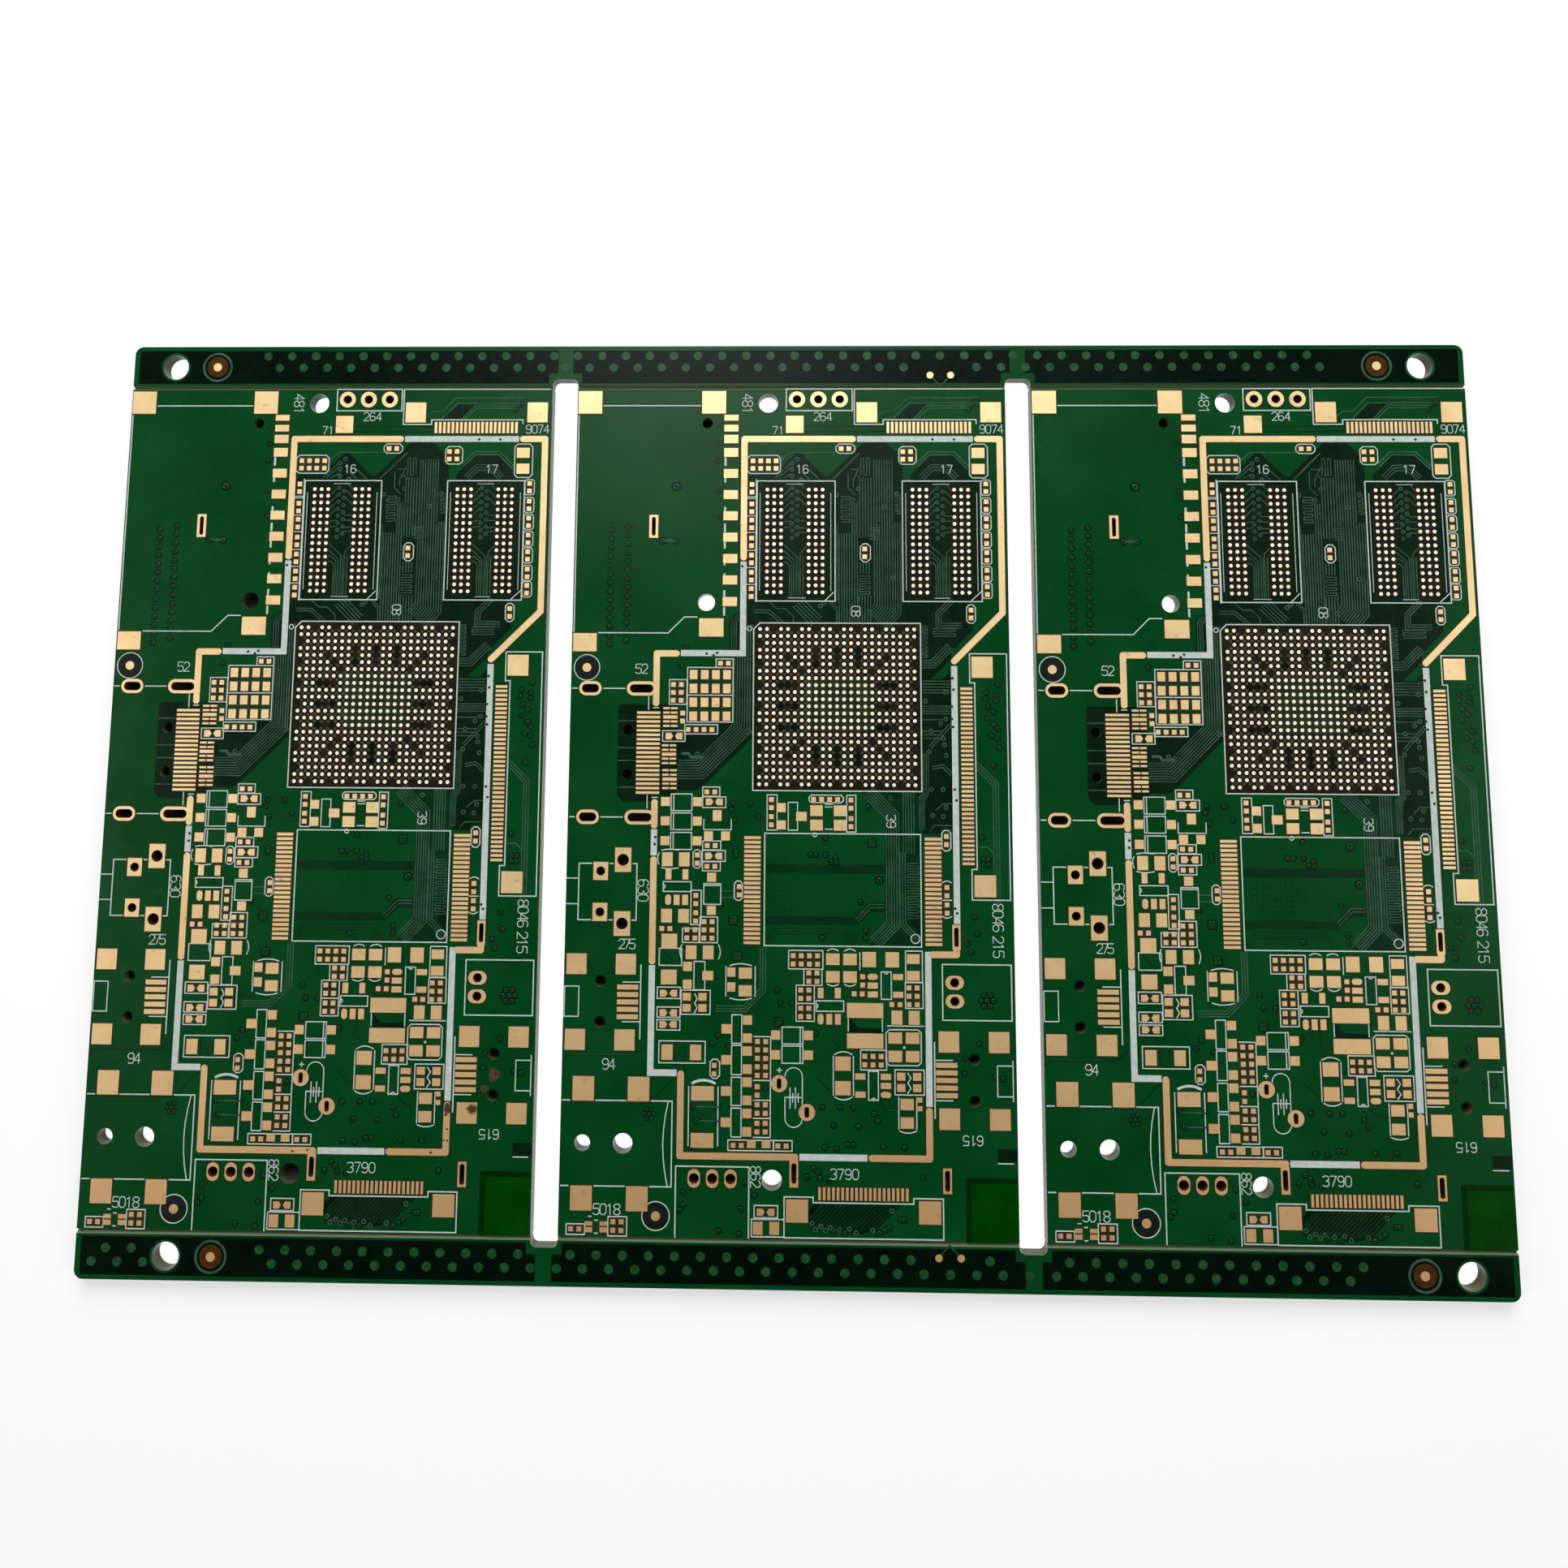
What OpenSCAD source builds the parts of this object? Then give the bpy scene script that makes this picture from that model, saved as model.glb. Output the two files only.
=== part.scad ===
// Bare printed circuit board panel: one laminate sheet that holds three like boards
// between two break-off rails, with gold-plated copper lands on its upper face.
// Millimetres. The origin is the middle of the underside, +Y points to the upper rail
// and +Z out of the face that takes the components. Places on a board are measured from
// its lower left corner, or from its right and upper edges where they belong to those.

/* [Panel] */
// Width of one board
board_w = 50; // [50:0.5:60]
// Height of one board
board_h = 95; // [95:0.5:110]
// Thickness of the laminate
board_t = 1.6; // [0.8:0.1:2.4]
// Width of the routed slot between two boards
slot_w = 3; // [2:0.1:5]
// How far a routed slot runs into each rail
slot_run = 1; // [0.5:0.1:1.5]
// Height of a break-off rail
rail_h = 5; // [5:0.5:8]
// Radius of the panel's outer corners
corner_r = 1; // [0.2:0.1:2]
// Depth of the scored groove between boards and rails
score_d = 0.4; // [0.2:0.05:0.5]
// Width of the scored groove at the surface
score_w = 0.5; // [0.3:0.05:0.8]

/* [Rails] */
// Diameter of a tooling hole
tooling_d = 3; // [2:0.1:3.4]
// Distance of a tooling hole from the panel's end
tooling_inset = 5; // [4:0.5:8]
// Extra inset of the lower left tooling hole, which keys the panel's direction
key_offset = 5; // [3:0.5:8]
// Distance of a rail fiducial from its tooling hole
fiducial_gap = 5; // [4:0.5:8]
// Diameter of a fiducial dot
fiducial_d = 1; // [0.8:0.1:1.5]
// Diameter of a rail test land
test_d = 0.8; // [0.5:0.1:1.2]
// Diameter of a dot that evens out the rails' plating
dot_d = 1; // [0.6:0.1:1.2]
// Distance between two dots in a row
dot_pitch = 2.838; // [2.6:0.002:3.2]

/* [Copper] */
// Thickness of the plated copper lands
copper_t = 0.04; // [0.02:0.01:0.08]
// Wall of the plating in a hole
plating_t = 0.05; // [0.03:0.01:0.08]
// Width of the shield track
track_w = 0.73; // [0.5:0.01:0.8]
// Thickness of the dark mask areas, let in flush with the face
inlay_t = 0.03; // [0.02:0.01:0.05]
// Thickness of the white ink
ink_t = 0.03; // [0.01:0.01:0.05]
// Width of the white ink strips
ink_w = 0.7; // [0.5:0.01:0.8]
// Width of the legend's thin lines
legend_w = 0.13; // [0.1:0.01:0.2]

/* [Ball grids] */
// Distance between two balls
ball_pitch = 0.8; // [0.65:0.05:0.8]
// Diameter of a ball land
ball_d = 0.42; // [0.3:0.02:0.5]

/* [Connectors] */
// Distance between two ribbon fingers
ribbon_pitch = 0.5; // [0.4:0.05:0.5]
// Width of a ribbon finger
ribbon_finger_w = 0.3; // [0.2:0.01:0.36]
// Length of a ribbon finger
ribbon_finger_l = 1.35; // [1:0.05:1.5]
// Side of a ribbon connector's anchor land
anchor_side = 2.4; // [1.8:0.1:2.6]
// Distance between two flash fingers
flash_pitch = 0.5; // [0.4:0.05:0.5]
// Width of a flash finger
flash_finger_w = 0.33; // [0.2:0.01:0.38]
// Length of a flash finger
flash_finger_l = 1.85; // [1.2:0.05:2]
// Distance between two video fingers
video_pitch = 0.5; // [0.4:0.05:0.5]
// Width of a video finger
video_finger_w = 0.28; // [0.2:0.01:0.36]
// Length of a video finger
video_finger_l = 2.65; // [2:0.05:2.7]
// Distance between two side connector fingers
side_pitch = 0.8; // [0.7:0.05:0.9]
// Width of a side connector finger
side_finger_w = 0.53; // [0.3:0.01:0.6]
// Length of a side connector finger
side_finger_l = 2.35; // [1.8:0.05:2.5]

/* [Components] */
// Side of a small chip land
chip_side = 0.53; // [0.4:0.01:0.65]
// Distance between the two lands of a small chip
chip_pitch = 0.9; // [0.85:0.01:0.93]
// Side of a diode land
diode_side = 1; // [0.8:0.05:1.2]
// Distance between the two lands of a diode
diode_pitch = 3.62; // [3.4:0.02:3.8]
// Side of a transistor land
transistor_side = 1; // [0.8:0.05:1.1]
// Distance between a transistor's two rows of lands
transistor_row = 2.26; // [2:0.02:2.4]
// Distance between two outer lands in a transistor's row
transistor_pitch = 1.92; // [1.8:0.02:2]

/* [Hidden] */
$fn = 32;
cut = 1;
GOLD = [0.86, 0.68, 0.44];
MASK_GREEN = [0.04, 0.3, 0.15];
MASK_DARK = [0.03, 0.12, 0.07];
INK_WHITE = [0.8, 0.84, 0.82];

// Smallest board that takes the layout at full size, under which lands and places shrink with it
LAYOUT = [50, 95];
unit = min(1, board_w / LAYOUT.x, board_h / LAYOUT.y);
right = board_w / unit;
top = board_h / unit;
board_step = board_w + slot_w;
panel_w = 3 * board_w + 2 * slot_w;
panel_h = board_h + 2 * rail_h;
rail_mid = board_h / 2 + rail_h / 2;
tooling_x = panel_w / 2 - tooling_inset;
test_x = [16.3, 18.7];
test_y = board_h / 2 + 1.45;
dot_t = 0.03;
dot_room = 1.5;
// Rows of dots: rail, offset from its middle, first dot's distance from the panel's end, count
DOT_ROWS = [
    [1, 1.32, 16.02, 44],
    [1, -0.09, 17.44, 44],
    [-1, 0.8, 3.34, 2],
    [-1, 0.8, 20.33, 43],
    [-1, -0.63, 1.86, 3],
    [-1, -0.63, 21.73, 42]
];

// Each tooling hole: place, and the way its fiducial lies from it
TOOLING = [
    [-tooling_x, rail_mid, 1],
    [tooling_x, rail_mid, -1],
    [-tooling_x + key_offset, -rail_mid, 1],
    [tooling_x, -rail_mid, -1]
];

// Ball grids
processor_at = [30.4, 57.75];
processor_n = 23;
processor_mid = (processor_n - 1) / 2;
// Rings of the grid, counted from its edge, that its channels and its bare corners cross
channel_rings = [3, 5];
corner_rings = [4, 6];
channel_step = 3;
memory_rows = 16;
memory_cols = [-4, -3, -2, 2, 3, 4];
MEMORIES = [[25.55, top - 18.2], [42.35, top - 18.2]];

// Flash memory: its two rows of fingers
flash_left = 20.9;
flash_right = right - 8.9;
flash_at = [(flash_left + flash_right) / 2, 37.25];
flash_span = flash_right - flash_left;
flash_n = 24;

// Card socket: corner lands [x, y, w, h], contacts and locating holes [x, y, d]
CARD_CORNERS = [
    [1.5, top - 1.8, 2.8, 2.7],
    [16.05, top - 1.8, 2.8, 2.7],
    [1.5, top - 30.05, 2.7, 2.1],
    [16, top - 28.3, 2.8, 2.1]
];
card_contact_x = 18.1;
card_contact_l = 1.65;
card_contact_w = 1.05;
card_contact_pitch = 2.5;
card_contact_n = 8;
card_contact_top = top - 7.8;
CARD_SWITCHES = [[top - 3.65, 0.7], [top - 4.9, 0.8], [top - 6.2, 1]];
CARD_PEGS = [[15.3, top - 4.3, 1.2], [15.4, top - 25.4, 2]];

// Video socket: fingers, locating holes and shell slots about its middle
video_at = [8.97, 52.43];
video_n = 19;
video_peg = [-2.37, 2.5];
video_peg_d = 1.2;
video_slot_y = 7.25;
// Protection arrays: a wide bar between four pairs of thin lands
PROTECTION = [[11.45, 56.45], [11.35, 52.25], [11.45, 49.45]];
protection_bar = [1.62, 0.36];
protection_land = [0.75, 0.23];
protection_x = 0.44;

// Ribbon connectors: place, turn and number of fingers
RIBBONS = [
    [41.1, top - 4.83, 0, 20],
    [33.2, 5, 180, 20],
    [right - 4.95, 50.07, -90, 40]
];
anchor_from_finger = 2.45;
anchor_row = 1.82;

// Side connectors: place and turn; lands and pegs as seen with the mouth to the left
SIDES = [[7.15, 24.97, 0], [right - 7.63, 17, 180]];
side_n = 5;
side_anchor = 2.25;
side_anchor_y = 4.07;
side_inner_x = -0.26;
side_outer_x = -5.76;
side_peg = [-3.07, 2.22];
side_peg_d = 1.25;

// Jack: four lands and two locating holes [offset, d]
jack_at = [5.5, 9.95];
jack_land = [2.38, 2.6];
jack_land_at = [3.05, 5.75];
JACK_PEGS = [[-3.05, 1.75], [1.4, 2.15]];

// Board mounting holes [x, y, d]
MOUNTING = [[22.4, top - 1.9, 2.3], [23.25, 6.3, 2.2]];

// Small chips: lower left land of each block, columns and rows
CHIPS = [
    [20.65, top - 9.7, 4, 2],
    [30.9, top - 7.35, 2, 1],
    [38.05, top - 8.6, 2, 2],
    [33.6, top - 20.05, 1, 2],
    [45.7, top - 27.1, 1, 2],
    [11.75, 58.35, 2, 3],
    [12.85, 56, 1, 2],
    [13.5, 55.05, 4, 1],
    [17.1, 62.6, 2, 1],
    [15.7, 48.05, 2, 1],
    [14.7, 40.15, 1, 2],
    [15.8, 42.1, 2, 1],
    [15.8, 39.8, 2, 1],
    [14.6, 35.7, 1, 2],
    [14.6, 33.8, 1, 2],
    [10.85, 32.95, 2, 1],
    [13.65, 31.95, 2, 2],
    [15.55, 31.95, 2, 3],
    [23, 46.35, 1, 2],
    [23, 44.45, 1, 2],
    [27.75, 47.3, 4, 1],
    [31.95, 46.35, 1, 2],
    [31.95, 44.3, 1, 2],
    [19.45, 36.7, 1, 2],
    [42.6, 42.4, 1, 2],
    [42.6, 36.8, 1, 2],
    [42.6, 34.9, 1, 2],
    [25.5, 29.25, 4, 2],
    [27.25, 27.4, 2, 2],
    [26.35, 25.55, 2, 2],
    [26.35, 23.6, 2, 2],
    [33.2, 27.05, 1, 2],
    [32.25, 26.1, 2, 1],
    [38.3, 25, 2, 3],
    [36.4, 25, 2, 1],
    [21.6, 17.3, 2, 5],
    [21.6, 15.2, 1, 2],
    [21.6, 13.3, 2, 2],
    [21.6, 11.35, 2, 2],
    [33.4, 18.55, 3, 2],
    [39.4, 14, 1, 2],
    [19, 9.9, 2, 1],
    [23.9, 9.9, 2, 1],
    [1.4, 1, 2, 1],
    [6, 0.9, 2, 2],
    [16.85, 17.4, 1, 2]
];
// Rows of decoupling chips beside the two memories: x, and each pair's lower land
MEMORY_CHIPS = [
    [20.55, [12.5, 14.8, 16.7, 18.8, 20.8, 22.8, 24.7]],
    [47.6, [12.4, 14.5, 16.5, 18.5, 20.45, 22.5, 24.4]]
];

// Capacitors, coils and crystals: place, turn, land along and across, pitch of the pair
CAPACITORS = [
    [right - 3.25, top - 8.8, 90, 1.2, 1.5, 1.9],
    [12.3, 40.55, 0, 1.2, 1.55, 1.9],
    [12.3, 34.35, 0, 1.2, 1.5, 1.9],
    [11.7, 29.65, 90, 1.6, 1.75, 3.9],
    [15.1, 30.4, 0, 1.2, 1.5, 1.9],
    [13.2, 19.65, 0, 1.25, 1.65, 3.15],
    [15.6, 12.85, 90, 1.55, 2.5, 4.95],
    [18.65, 27.5, 90, 1, 0.9, 1.6],
    [20.2, 27.25, 90, 1.2, 1.45, 1.9],
    [29.9, 28.85, 90, 1.25, 1.5, 1.9],
    [31.8, 28.85, 90, 1.25, 1.5, 1.9],
    [35.2, 29.8, 0, 1.5, 1.65, 2.55],
    [38.8, 29, 90, 1.05, 1.4, 1.8],
    [33.45, 22.7, 90, 1.6, 4, 3.25],
    [37.9, 23.6, 0, 1.2, 1.5, 1.9],
    [36.75, 20.45, 90, 1.2, 1.5, 1.95],
    [38.65, 20.45, 90, 1.2, 1.5, 1.95],
    [31, 17.35, 90, 1.5, 1.7, 2.6],
    [38, 13.45, 90, 1.2, 1.45, 1.95],
    [29.4, 46.05, 0, 1.4, 1.2, 2.65],
    [29.4, 44.45, 0, 1.4, 1.2, 2.65],
    [21.8, 10.05, 0, 0.95, 0.8, 1.6],
    [22.65, 1.35, 0, 1.05, 1.35, 1.8],
    [4.15, 1.58, 0, 0.85, 0.45, 1.65],
    [4.15, 0.94, 0, 0.85, 0.55, 1.65]
];
probe_land_at = [25.5, top - 4.45];
probe_land = 2.05;

// Diodes: place and turn
DIODES = [
    [12.85, 46.95, 0],
    [12.85, 44.8, 0],
    [12.85, 42.6, 0],
    [16.35, 36.8, 90],
    [25.4, 21.6, 0],
    [25.4, 19.5, 0]
];

// Three-leg transistors: place and turn, the single leg to the left at no turn
TRANSISTORS = [
    [16.9, 44.3, -90],
    [25.25, 45.4, 180],
    [14.9, 27.9, 180],
    [19.35, 22.2, 0],
    [19.35, 18.9, 0],
    [19.35, 15.6, 0],
    [19.35, 12.3, 0]
];
single_leg_l = 1.2;

// Five-leg regulators: place and turn, the row of three below at no turn
REGULATORS = [[12.45, 37.5, 0], [29.5, 24.75, 0], [35.7, 27, -90], [34.3, 16.35, 90]];
regulator_land = [0.65, 1.13];
regulator_pitch = 0.95;
regulator_row = 2.8;

// Filters with two rows of two lands, and networks with two rows of four
FILTERS = [[14.6, 25], [38.25, 16.75]];
filter_land = [0.9, 0.83];
filter_step = [1.75, 1.2];
NETWORKS = [[15.95, 60.5], [15.95, 57.35]];
network_land = [0.87, 1.05];
network_step = [1.27, 1.58];

// Solder bridges: two lands that point at each other
BRIDGES = [
    [11.9, 54.3], [16.55, 46.95], [16.55, 40.95], [11.7, 25.95],
    [11.7, 23.85], [11.7, 22.6], [22.6, 3]
];
bridge_land = [0.86, 0.75];
bridge_point = 0.25;
bridge_pitch = 1.06;

// Holes with plating: place, turn, hole along and across, land along and across, round land
PIN_HOLES = [
    [25.75, top - 1.45, 0, 1, 1, 1.9, 1.9, true],
    [28.25, top - 1.45, 0, 1, 1, 1.9, 1.9, true],
    [30.75, top - 1.45, 0, 1, 1, 1.9, 1.9, true],
    [3.87, 39.2, 0, 1, 1, 1.66, 2, false],
    [3.87, 34.7, 0, 1, 1, 1.66, 2, false],
    [6.37, 40.45, 0, 1.3, 1.3, 1.84, 2.7, false],
    [6.37, 33.45, 0, 1.3, 1.3, 1.84, 2.7, false],
    [right - 6.66, 27.4, 0, 1, 1, 2.05, 1.5, true],
    [right - 6.66, 25.4, 0, 1, 1, 2.05, 1.5, true],
    [14.75, 6.4, 90, 1.1, 1.1, 1.95, 1.35, true],
    [16.75, 6.4, 90, 1.1, 1.1, 1.95, 1.35, true],
    [18.75, 6.4, 90, 1.1, 1.1, 1.95, 1.35, true],
    [24, 16.45, 90, 1.15, 0.5, 1.8, 1.8, true],
    [27.05, 13.45, 90, 1.15, 0.5, 1.8, 1.8, true]
];
TAB_SLOTS = [
    [2.25, video_at.y + video_slot_y, 0, 1.95, 0.98, 2.57, 1.63, true],
    [2.25, video_at.y - video_slot_y, 0, 1.95, 0.98, 2.57, 1.63, true],
    [9.2, top - 16.55, 90, 2.2, 0.45, 2.7, 1.05, false],
    [right - 7.68, 6.47, 90, 2.2, 0.55, 2.65, 0.95, false]
];

// Shield track: runs of gold between bends, the slots in it and the ink that goes on from it
left_x = 9.8;
SHIELD_SLOTS = [
    [8.12, video_at.y + video_slot_y, 0, 2.7, 0.95, 3.4, 1.63, true],
    [8.12, video_at.y - video_slot_y, 0, 2.7, 0.95, 3.4, 1.63, true],
    [right - 6.4, 32.3, 90, 2.1, 0.5, 2.7, 0.9, false],
    [25.65, 7.05, 90, 2.15, 0.55, 2.9, 0.95, false]
];
TRACK_RUNS = [
    [[32.25, top - 6.2], [19.65, top - 6.2], [19.65, top - 20.15]],
    [[right - 3.3, top - 6.2], [right - 0.72, top - 6.2], [right - 0.72, 68.5], [right - 6.28, 62.95]],
    [[12.05, 63.7], [left_x, 63.7], [left_x, 58.05]],
    [[left_x, 46.85], [left_x, 44.3]],
    [[left_x, 40.5], [left_x, 29.4]],
    [[right - 6.4, 33.2], [right - 6.4, 30.4], [right - 9.05, 30.4]],
    [[right - 9.57, 13.75], [right - 9.57, 8.75], [34.15, 8.75]],
    [[25.75, 8.75], [13.17, 8.75], [13.17, 17.35]]
];
INK_RUNS = [
    [[32.75, top - 6.2], [right - 3.8, top - 6.2]],
    [[19.65, top - 20.65], [19.65, 63.75], [12.55, 63.75]],
    [[right - 6.3, 62.4], [right - 6.3, 33.75]],
    [[left_x, 43.85], [left_x, 40.95]],
    [[left_x, 28.95], [left_x, 17.45], [12.7, 17.45]],
    [[right - 9.55, 30.7], [right - 9.55, 14.2]],
    [[26.25, 8.75], [33.65, 8.75]]
];

// Legend: outlines of the larger parts, as runs of thin ink, clear of the outermost balls
memory_margin = [1.32, 1.02];
memory_half = [max(memory_cols), (memory_rows - 1) / 2] * ball_pitch + memory_margin;
memory_shift = [0.13, 0];
processor_margin = [0.72, 0.7];
processor_half = [processor_mid, processor_mid] * ball_pitch + processor_margin;
processor_chamfer = 0.7;
flash_half = [flash_span / 2 - 1.37, 6.15];
function box_run(mid, half, chamfer = 0) = [
    mid + [0, -half.y],
    mid + [half.x, -half.y],
    mid + half,
    if (chamfer > 0) mid + [chamfer - half.x, half.y],
    mid + [-half.x, half.y - chamfer],
    mid - half,
    mid + [0, -half.y]
];
LEGEND_RUNS = [
    for (m = MEMORIES) box_run(m + memory_shift, memory_half),
    box_run(processor_at, processor_half, processor_chamfer),
    box_run(flash_at + [0, 0.1], flash_half),
    [[3.05, top - 2.2], [14.5, top - 2.2]],
    [[0.2, top - 3.3], [0.2, top - 28.85]],
    [[3, top - 28.95], [11.05, top - 28.95], [12.9, top - 27.1], [14.4, top - 27.1]],
    box_run([28.35, top - 1.5], [3.85, 1.3]),
    [
        [right - 0.2, top - 0.2], [32.45, top - 0.2], [32.45, top - 4.45], [35.8, top - 4.45],
        [35.8, top - 3.9], [46.6, top - 3.9], [46.6, top - 4.4]
    ],
    [
        [right - 0.35, 60], [right - 0.35, 63.8], [right - 4.55, 63.8], [right - 4.55, 60.5],
        [right - 4, 60.5], [right - 4, 39.7], [right - 4.58, 39.7], [right - 4.58, 36.35],
        [right - 0.35, 36.35], [right - 0.35, 60]
    ],
    for (side = [-1, 1]) [for (x = [0.15, 0.8]) [x, video_at.y + side * video_slot_y]],
    for (side = [-1, 1]) [for (x = [3.7, 6.25]) [x, video_at.y + side * video_slot_y]],
    [[2.9, 40.03], [1.42, 40.03], [1.42, 33.83], [2.9, 33.83]],
    for (y = [33.83, 40.03]) [[4.85, y], [5.3, y]],
    [[7.44, 40.03], [7.94, 40.03], [7.94, 33.83], [7.44, 33.83]],
    [[8.58, 20.95], [8.58, 29]],
    for (y = [5.47, 14.45], x = [[0.15, 1.05], [3.8, 7.2]]) [[x[0], y], [x[1], y]],
    [[9.9, 14.45], [12.27, 14.45], [12.27, 5.47], [9.9, 5.47]],
    [[12.75, 0.25], [12.75, 7.65], [20.75, 7.65], [20.75, 0.25]],
    [
        [33, 0.4], [24.6, 0.4], [24.6, 4.62], [27.75, 4.62], [27.75, 4.05], [38.65, 4.05],
        [38.65, 4.62], [41.85, 4.62], [41.85, 0.4], [33, 0.4]
    ],
    box_run([right - 4.2, 26.36], [3.8, 2.99]),
    [[right - 8.95, 12.95], [right - 8.95, 21.05]]
];

// Area without a copper plane, where the mask looks darker: round memories, processor and video socket
BARE_AREA = [
    [20.05, 63.4], [18.65, 63.4], [18.65, 55.9], [16.9, 55.9], [16.9, 54.5], [13.2, 54.5], [13.2, 53.7],
    [12.3, 53.6], [12.3, 57.9], [5.75, 57.9], [5.5, 57.6], [5.5, 47.6], [6.2, 46.9], [9.4, 46.9],
    [9.4, 47.6], [12.3, 47.6], [12.3, 48.2], [14.6, 48.2], [15.5, 48.9], [20.95, 54.3], [20.95, 48.25],
    [39.95, 48.25], [39.95, 43.6], [42, 43.6], [42, 44.2], [43.35, 44.2], [43.35, 63.95], [45.9, 66.5],
    [45.9, top - 25.3], [46.9, top - 25], [46.9, top - 10.9], [45.7, top - 10.9], [45.7, top - 10],
    [43.9, top - 8.15], [41.2, top - 8.15], [38.95, top - 10.4], [38.95, top - 11.1], [38.05, top - 11.1],
    [38.05, top - 9.25], [37.5, top - 9.25], [37.5, top - 8], [36.1, top - 6.6], [33.45, top - 6.6],
    [29.5, top - 10.55], [28.9, top - 10.55], [26.2, top - 7.8], [25.7, top - 7.8], [24, top - 9.5],
    [24, top - 10.5], [20.05, top - 10.5]
];
// Clear corner: its size and its distance from the board's edges
corner_area = [5.55, 6.45];
corner_edge = [0.15, 0.4];
// Dark area of a rail: its distance from the rail's edges and the room it leaves at the slots' ends
dark_edge = [0.6, 0.5];
dark_gap = [1.8, 3.9];
dark_notch = 1.2;
dark_ring = 0.25;

// Board fiducials
FIDUCIALS = [[1.8, 62.05], [10.63, 2.43]];

BOARDS = [["left", -1], ["centre", 0], ["right", 1]];
FAMILIES = [
    "processor_lands", "memory_lands", "flash_lands", "card_socket_lands", "video_socket_lands",
    "protection_lands", "ribbon_lands", "side_connector_lands", "jack_lands", "chip_lands",
    "capacitor_lands", "diode_lands", "transistor_lands", "shield_track",
    "plated_pin_holes", "plated_slots", "fiducials", "ink_marks"
];

// Moves a board's features to its place in the panel
module on_board(b)
    translate([b[1] * board_step - board_w / 2, -board_h / 2, 0])
        children();

// Sets features at a place on the board, turned about that place
module at(place, turn = 0)
    translate(unit * [place.x, place.y, 0])
        rotate(turn)
            children();

// A slot with round ends along X, or a circle where both sizes are the same
module slot_2d(along, across) {
    if (along > across)
        square([along - across, across], center = true);
    for (side = along > across ? [-1, 1] : [0])
        translate([side * (along - across) / 2, 0])
            circle(d = across);
}

// Outline of the land round a plated hole
module hole_land_2d(h) {
    if (h[7])
        slot_2d(h[5], h[6]);
    else
        square([h[5], h[6]], center = true);
}

// A straight run of track with round ends
module run_2d(a, b, w) {
    d = b - a;
    translate(a)
        rotate(atan2(d.y, d.x))
            translate([0, -w / 2])
                square([norm(d), w]);
    for (end = [a, b])
        translate(end)
            circle(d = w);
}

// A straight run of ink with flat ends, lengthened at its far end to fill a bend
module strip_2d(a, b, w, fill) {
    d = b - a;
    translate(a)
        rotate(atan2(d.y, d.x))
            translate([0, -w / 2])
                square([norm(d) + fill, w]);
}

// Copper on the face, from an outline
module foil()
    translate([0, 0, board_t])
        linear_extrude(copper_t)
            scale(unit)
                children();

// A rectangular land about its own middle
module land(w, h)
    translate([-unit * w / 2, -unit * h / 2, board_t])
        cube([unit * w, unit * h, copper_t]);

// A round land
module dot(d)
    translate([0, 0, board_t])
        cylinder(d = d, h = copper_t);

// A row of lands along X
module land_row(n, pitch, w, h)
    for (i = [0 : n - 1])
        at([(i - (n - 1) / 2) * pitch, 0])
            land(w, h);

// Two rows of lands
module land_grid(n, step, size)
    for (side = [-1, 1])
        at([0, side * step.y / 2])
            land_row(n, step.x, size.x, size.y);

// Plating on the wall of a hole, and its land on the underside, let in flush
module barrel(h)
    at(h, h[2]) {
        linear_extrude(board_t)
            scale(unit)
                difference() {
                    slot_2d(h[3] + 2 * plating_t, h[4] + 2 * plating_t);
                    slot_2d(h[3], h[4]);
                }
        linear_extrude(copper_t)
            scale(unit)
                difference() {
                    hole_land_2d(h);
                    slot_2d(h[3], h[4]);
                }
    }

// A plated hole with its land on the face
module plated_hole(h) {
    barrel(h);
    at(h, h[2])
        foil()
            difference() {
                hole_land_2d(h);
                slot_2d(h[3], h[4]);
            }
}

// Room in the laminate for a plated hole
module plated_cut(h)
    at(h, h[2])
        translate([0, 0, -cut]) {
            linear_extrude(board_t + 2 * cut)
                scale(unit)
                    slot_2d(h[3] + 2 * plating_t, h[4] + 2 * plating_t);
            linear_extrude(cut + copper_t)
                scale(unit)
                    hole_land_2d(h);
        }

// A bare drilled hole
module drill(d)
    translate([0, 0, -cut])
        cylinder(d = d, h = board_t + 2 * cut);

// All holes of one board
module board_holes() {
    for (h = concat(PIN_HOLES, TAB_SLOTS, SHIELD_SLOTS))
        plated_cut(h);
    for (h = concat(CARD_PEGS, MOUNTING))
        at(h)
            drill(unit * h[2]);
    for (side = [-1, 1])
        at([video_at.x + video_peg.x, video_at.y + side * video_peg.y])
            drill(unit * video_peg_d);
    for (s = SIDES, side = [-1, 1])
        at(s, s[2])
            at([side_peg.x, side * side_peg.y])
                drill(unit * side_peg_d);
    for (p = JACK_PEGS)
        at([jack_at.x + p[0], jack_at.y])
            drill(unit * p[1]);
}

// The sheet's outline with round corners
module sheet_2d()
    difference() {
        square([panel_w, panel_h], center = true);
        for (x = [-1, 1], y = [-1, 1])
            translate([x * (panel_w / 2 - corner_r), y * (panel_h / 2 - corner_r)])
                difference() {
                    translate([min(x, 0) * 2 * corner_r, min(y, 0) * 2 * corner_r])
                        square(2 * corner_r);
                    circle(r = corner_r);
                }
    }

// Scored groove across the panel, on both faces
module score()
    rotate([90, 0, 90])
        linear_extrude(panel_w + 2 * cut, center = true) {
            polygon([[-score_w / 2, 0], [score_w / 2, 0], [0, score_d]]);
            polygon([[-score_w / 2, board_t], [score_w / 2, board_t], [0, board_t - score_d]]);
        }

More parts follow.
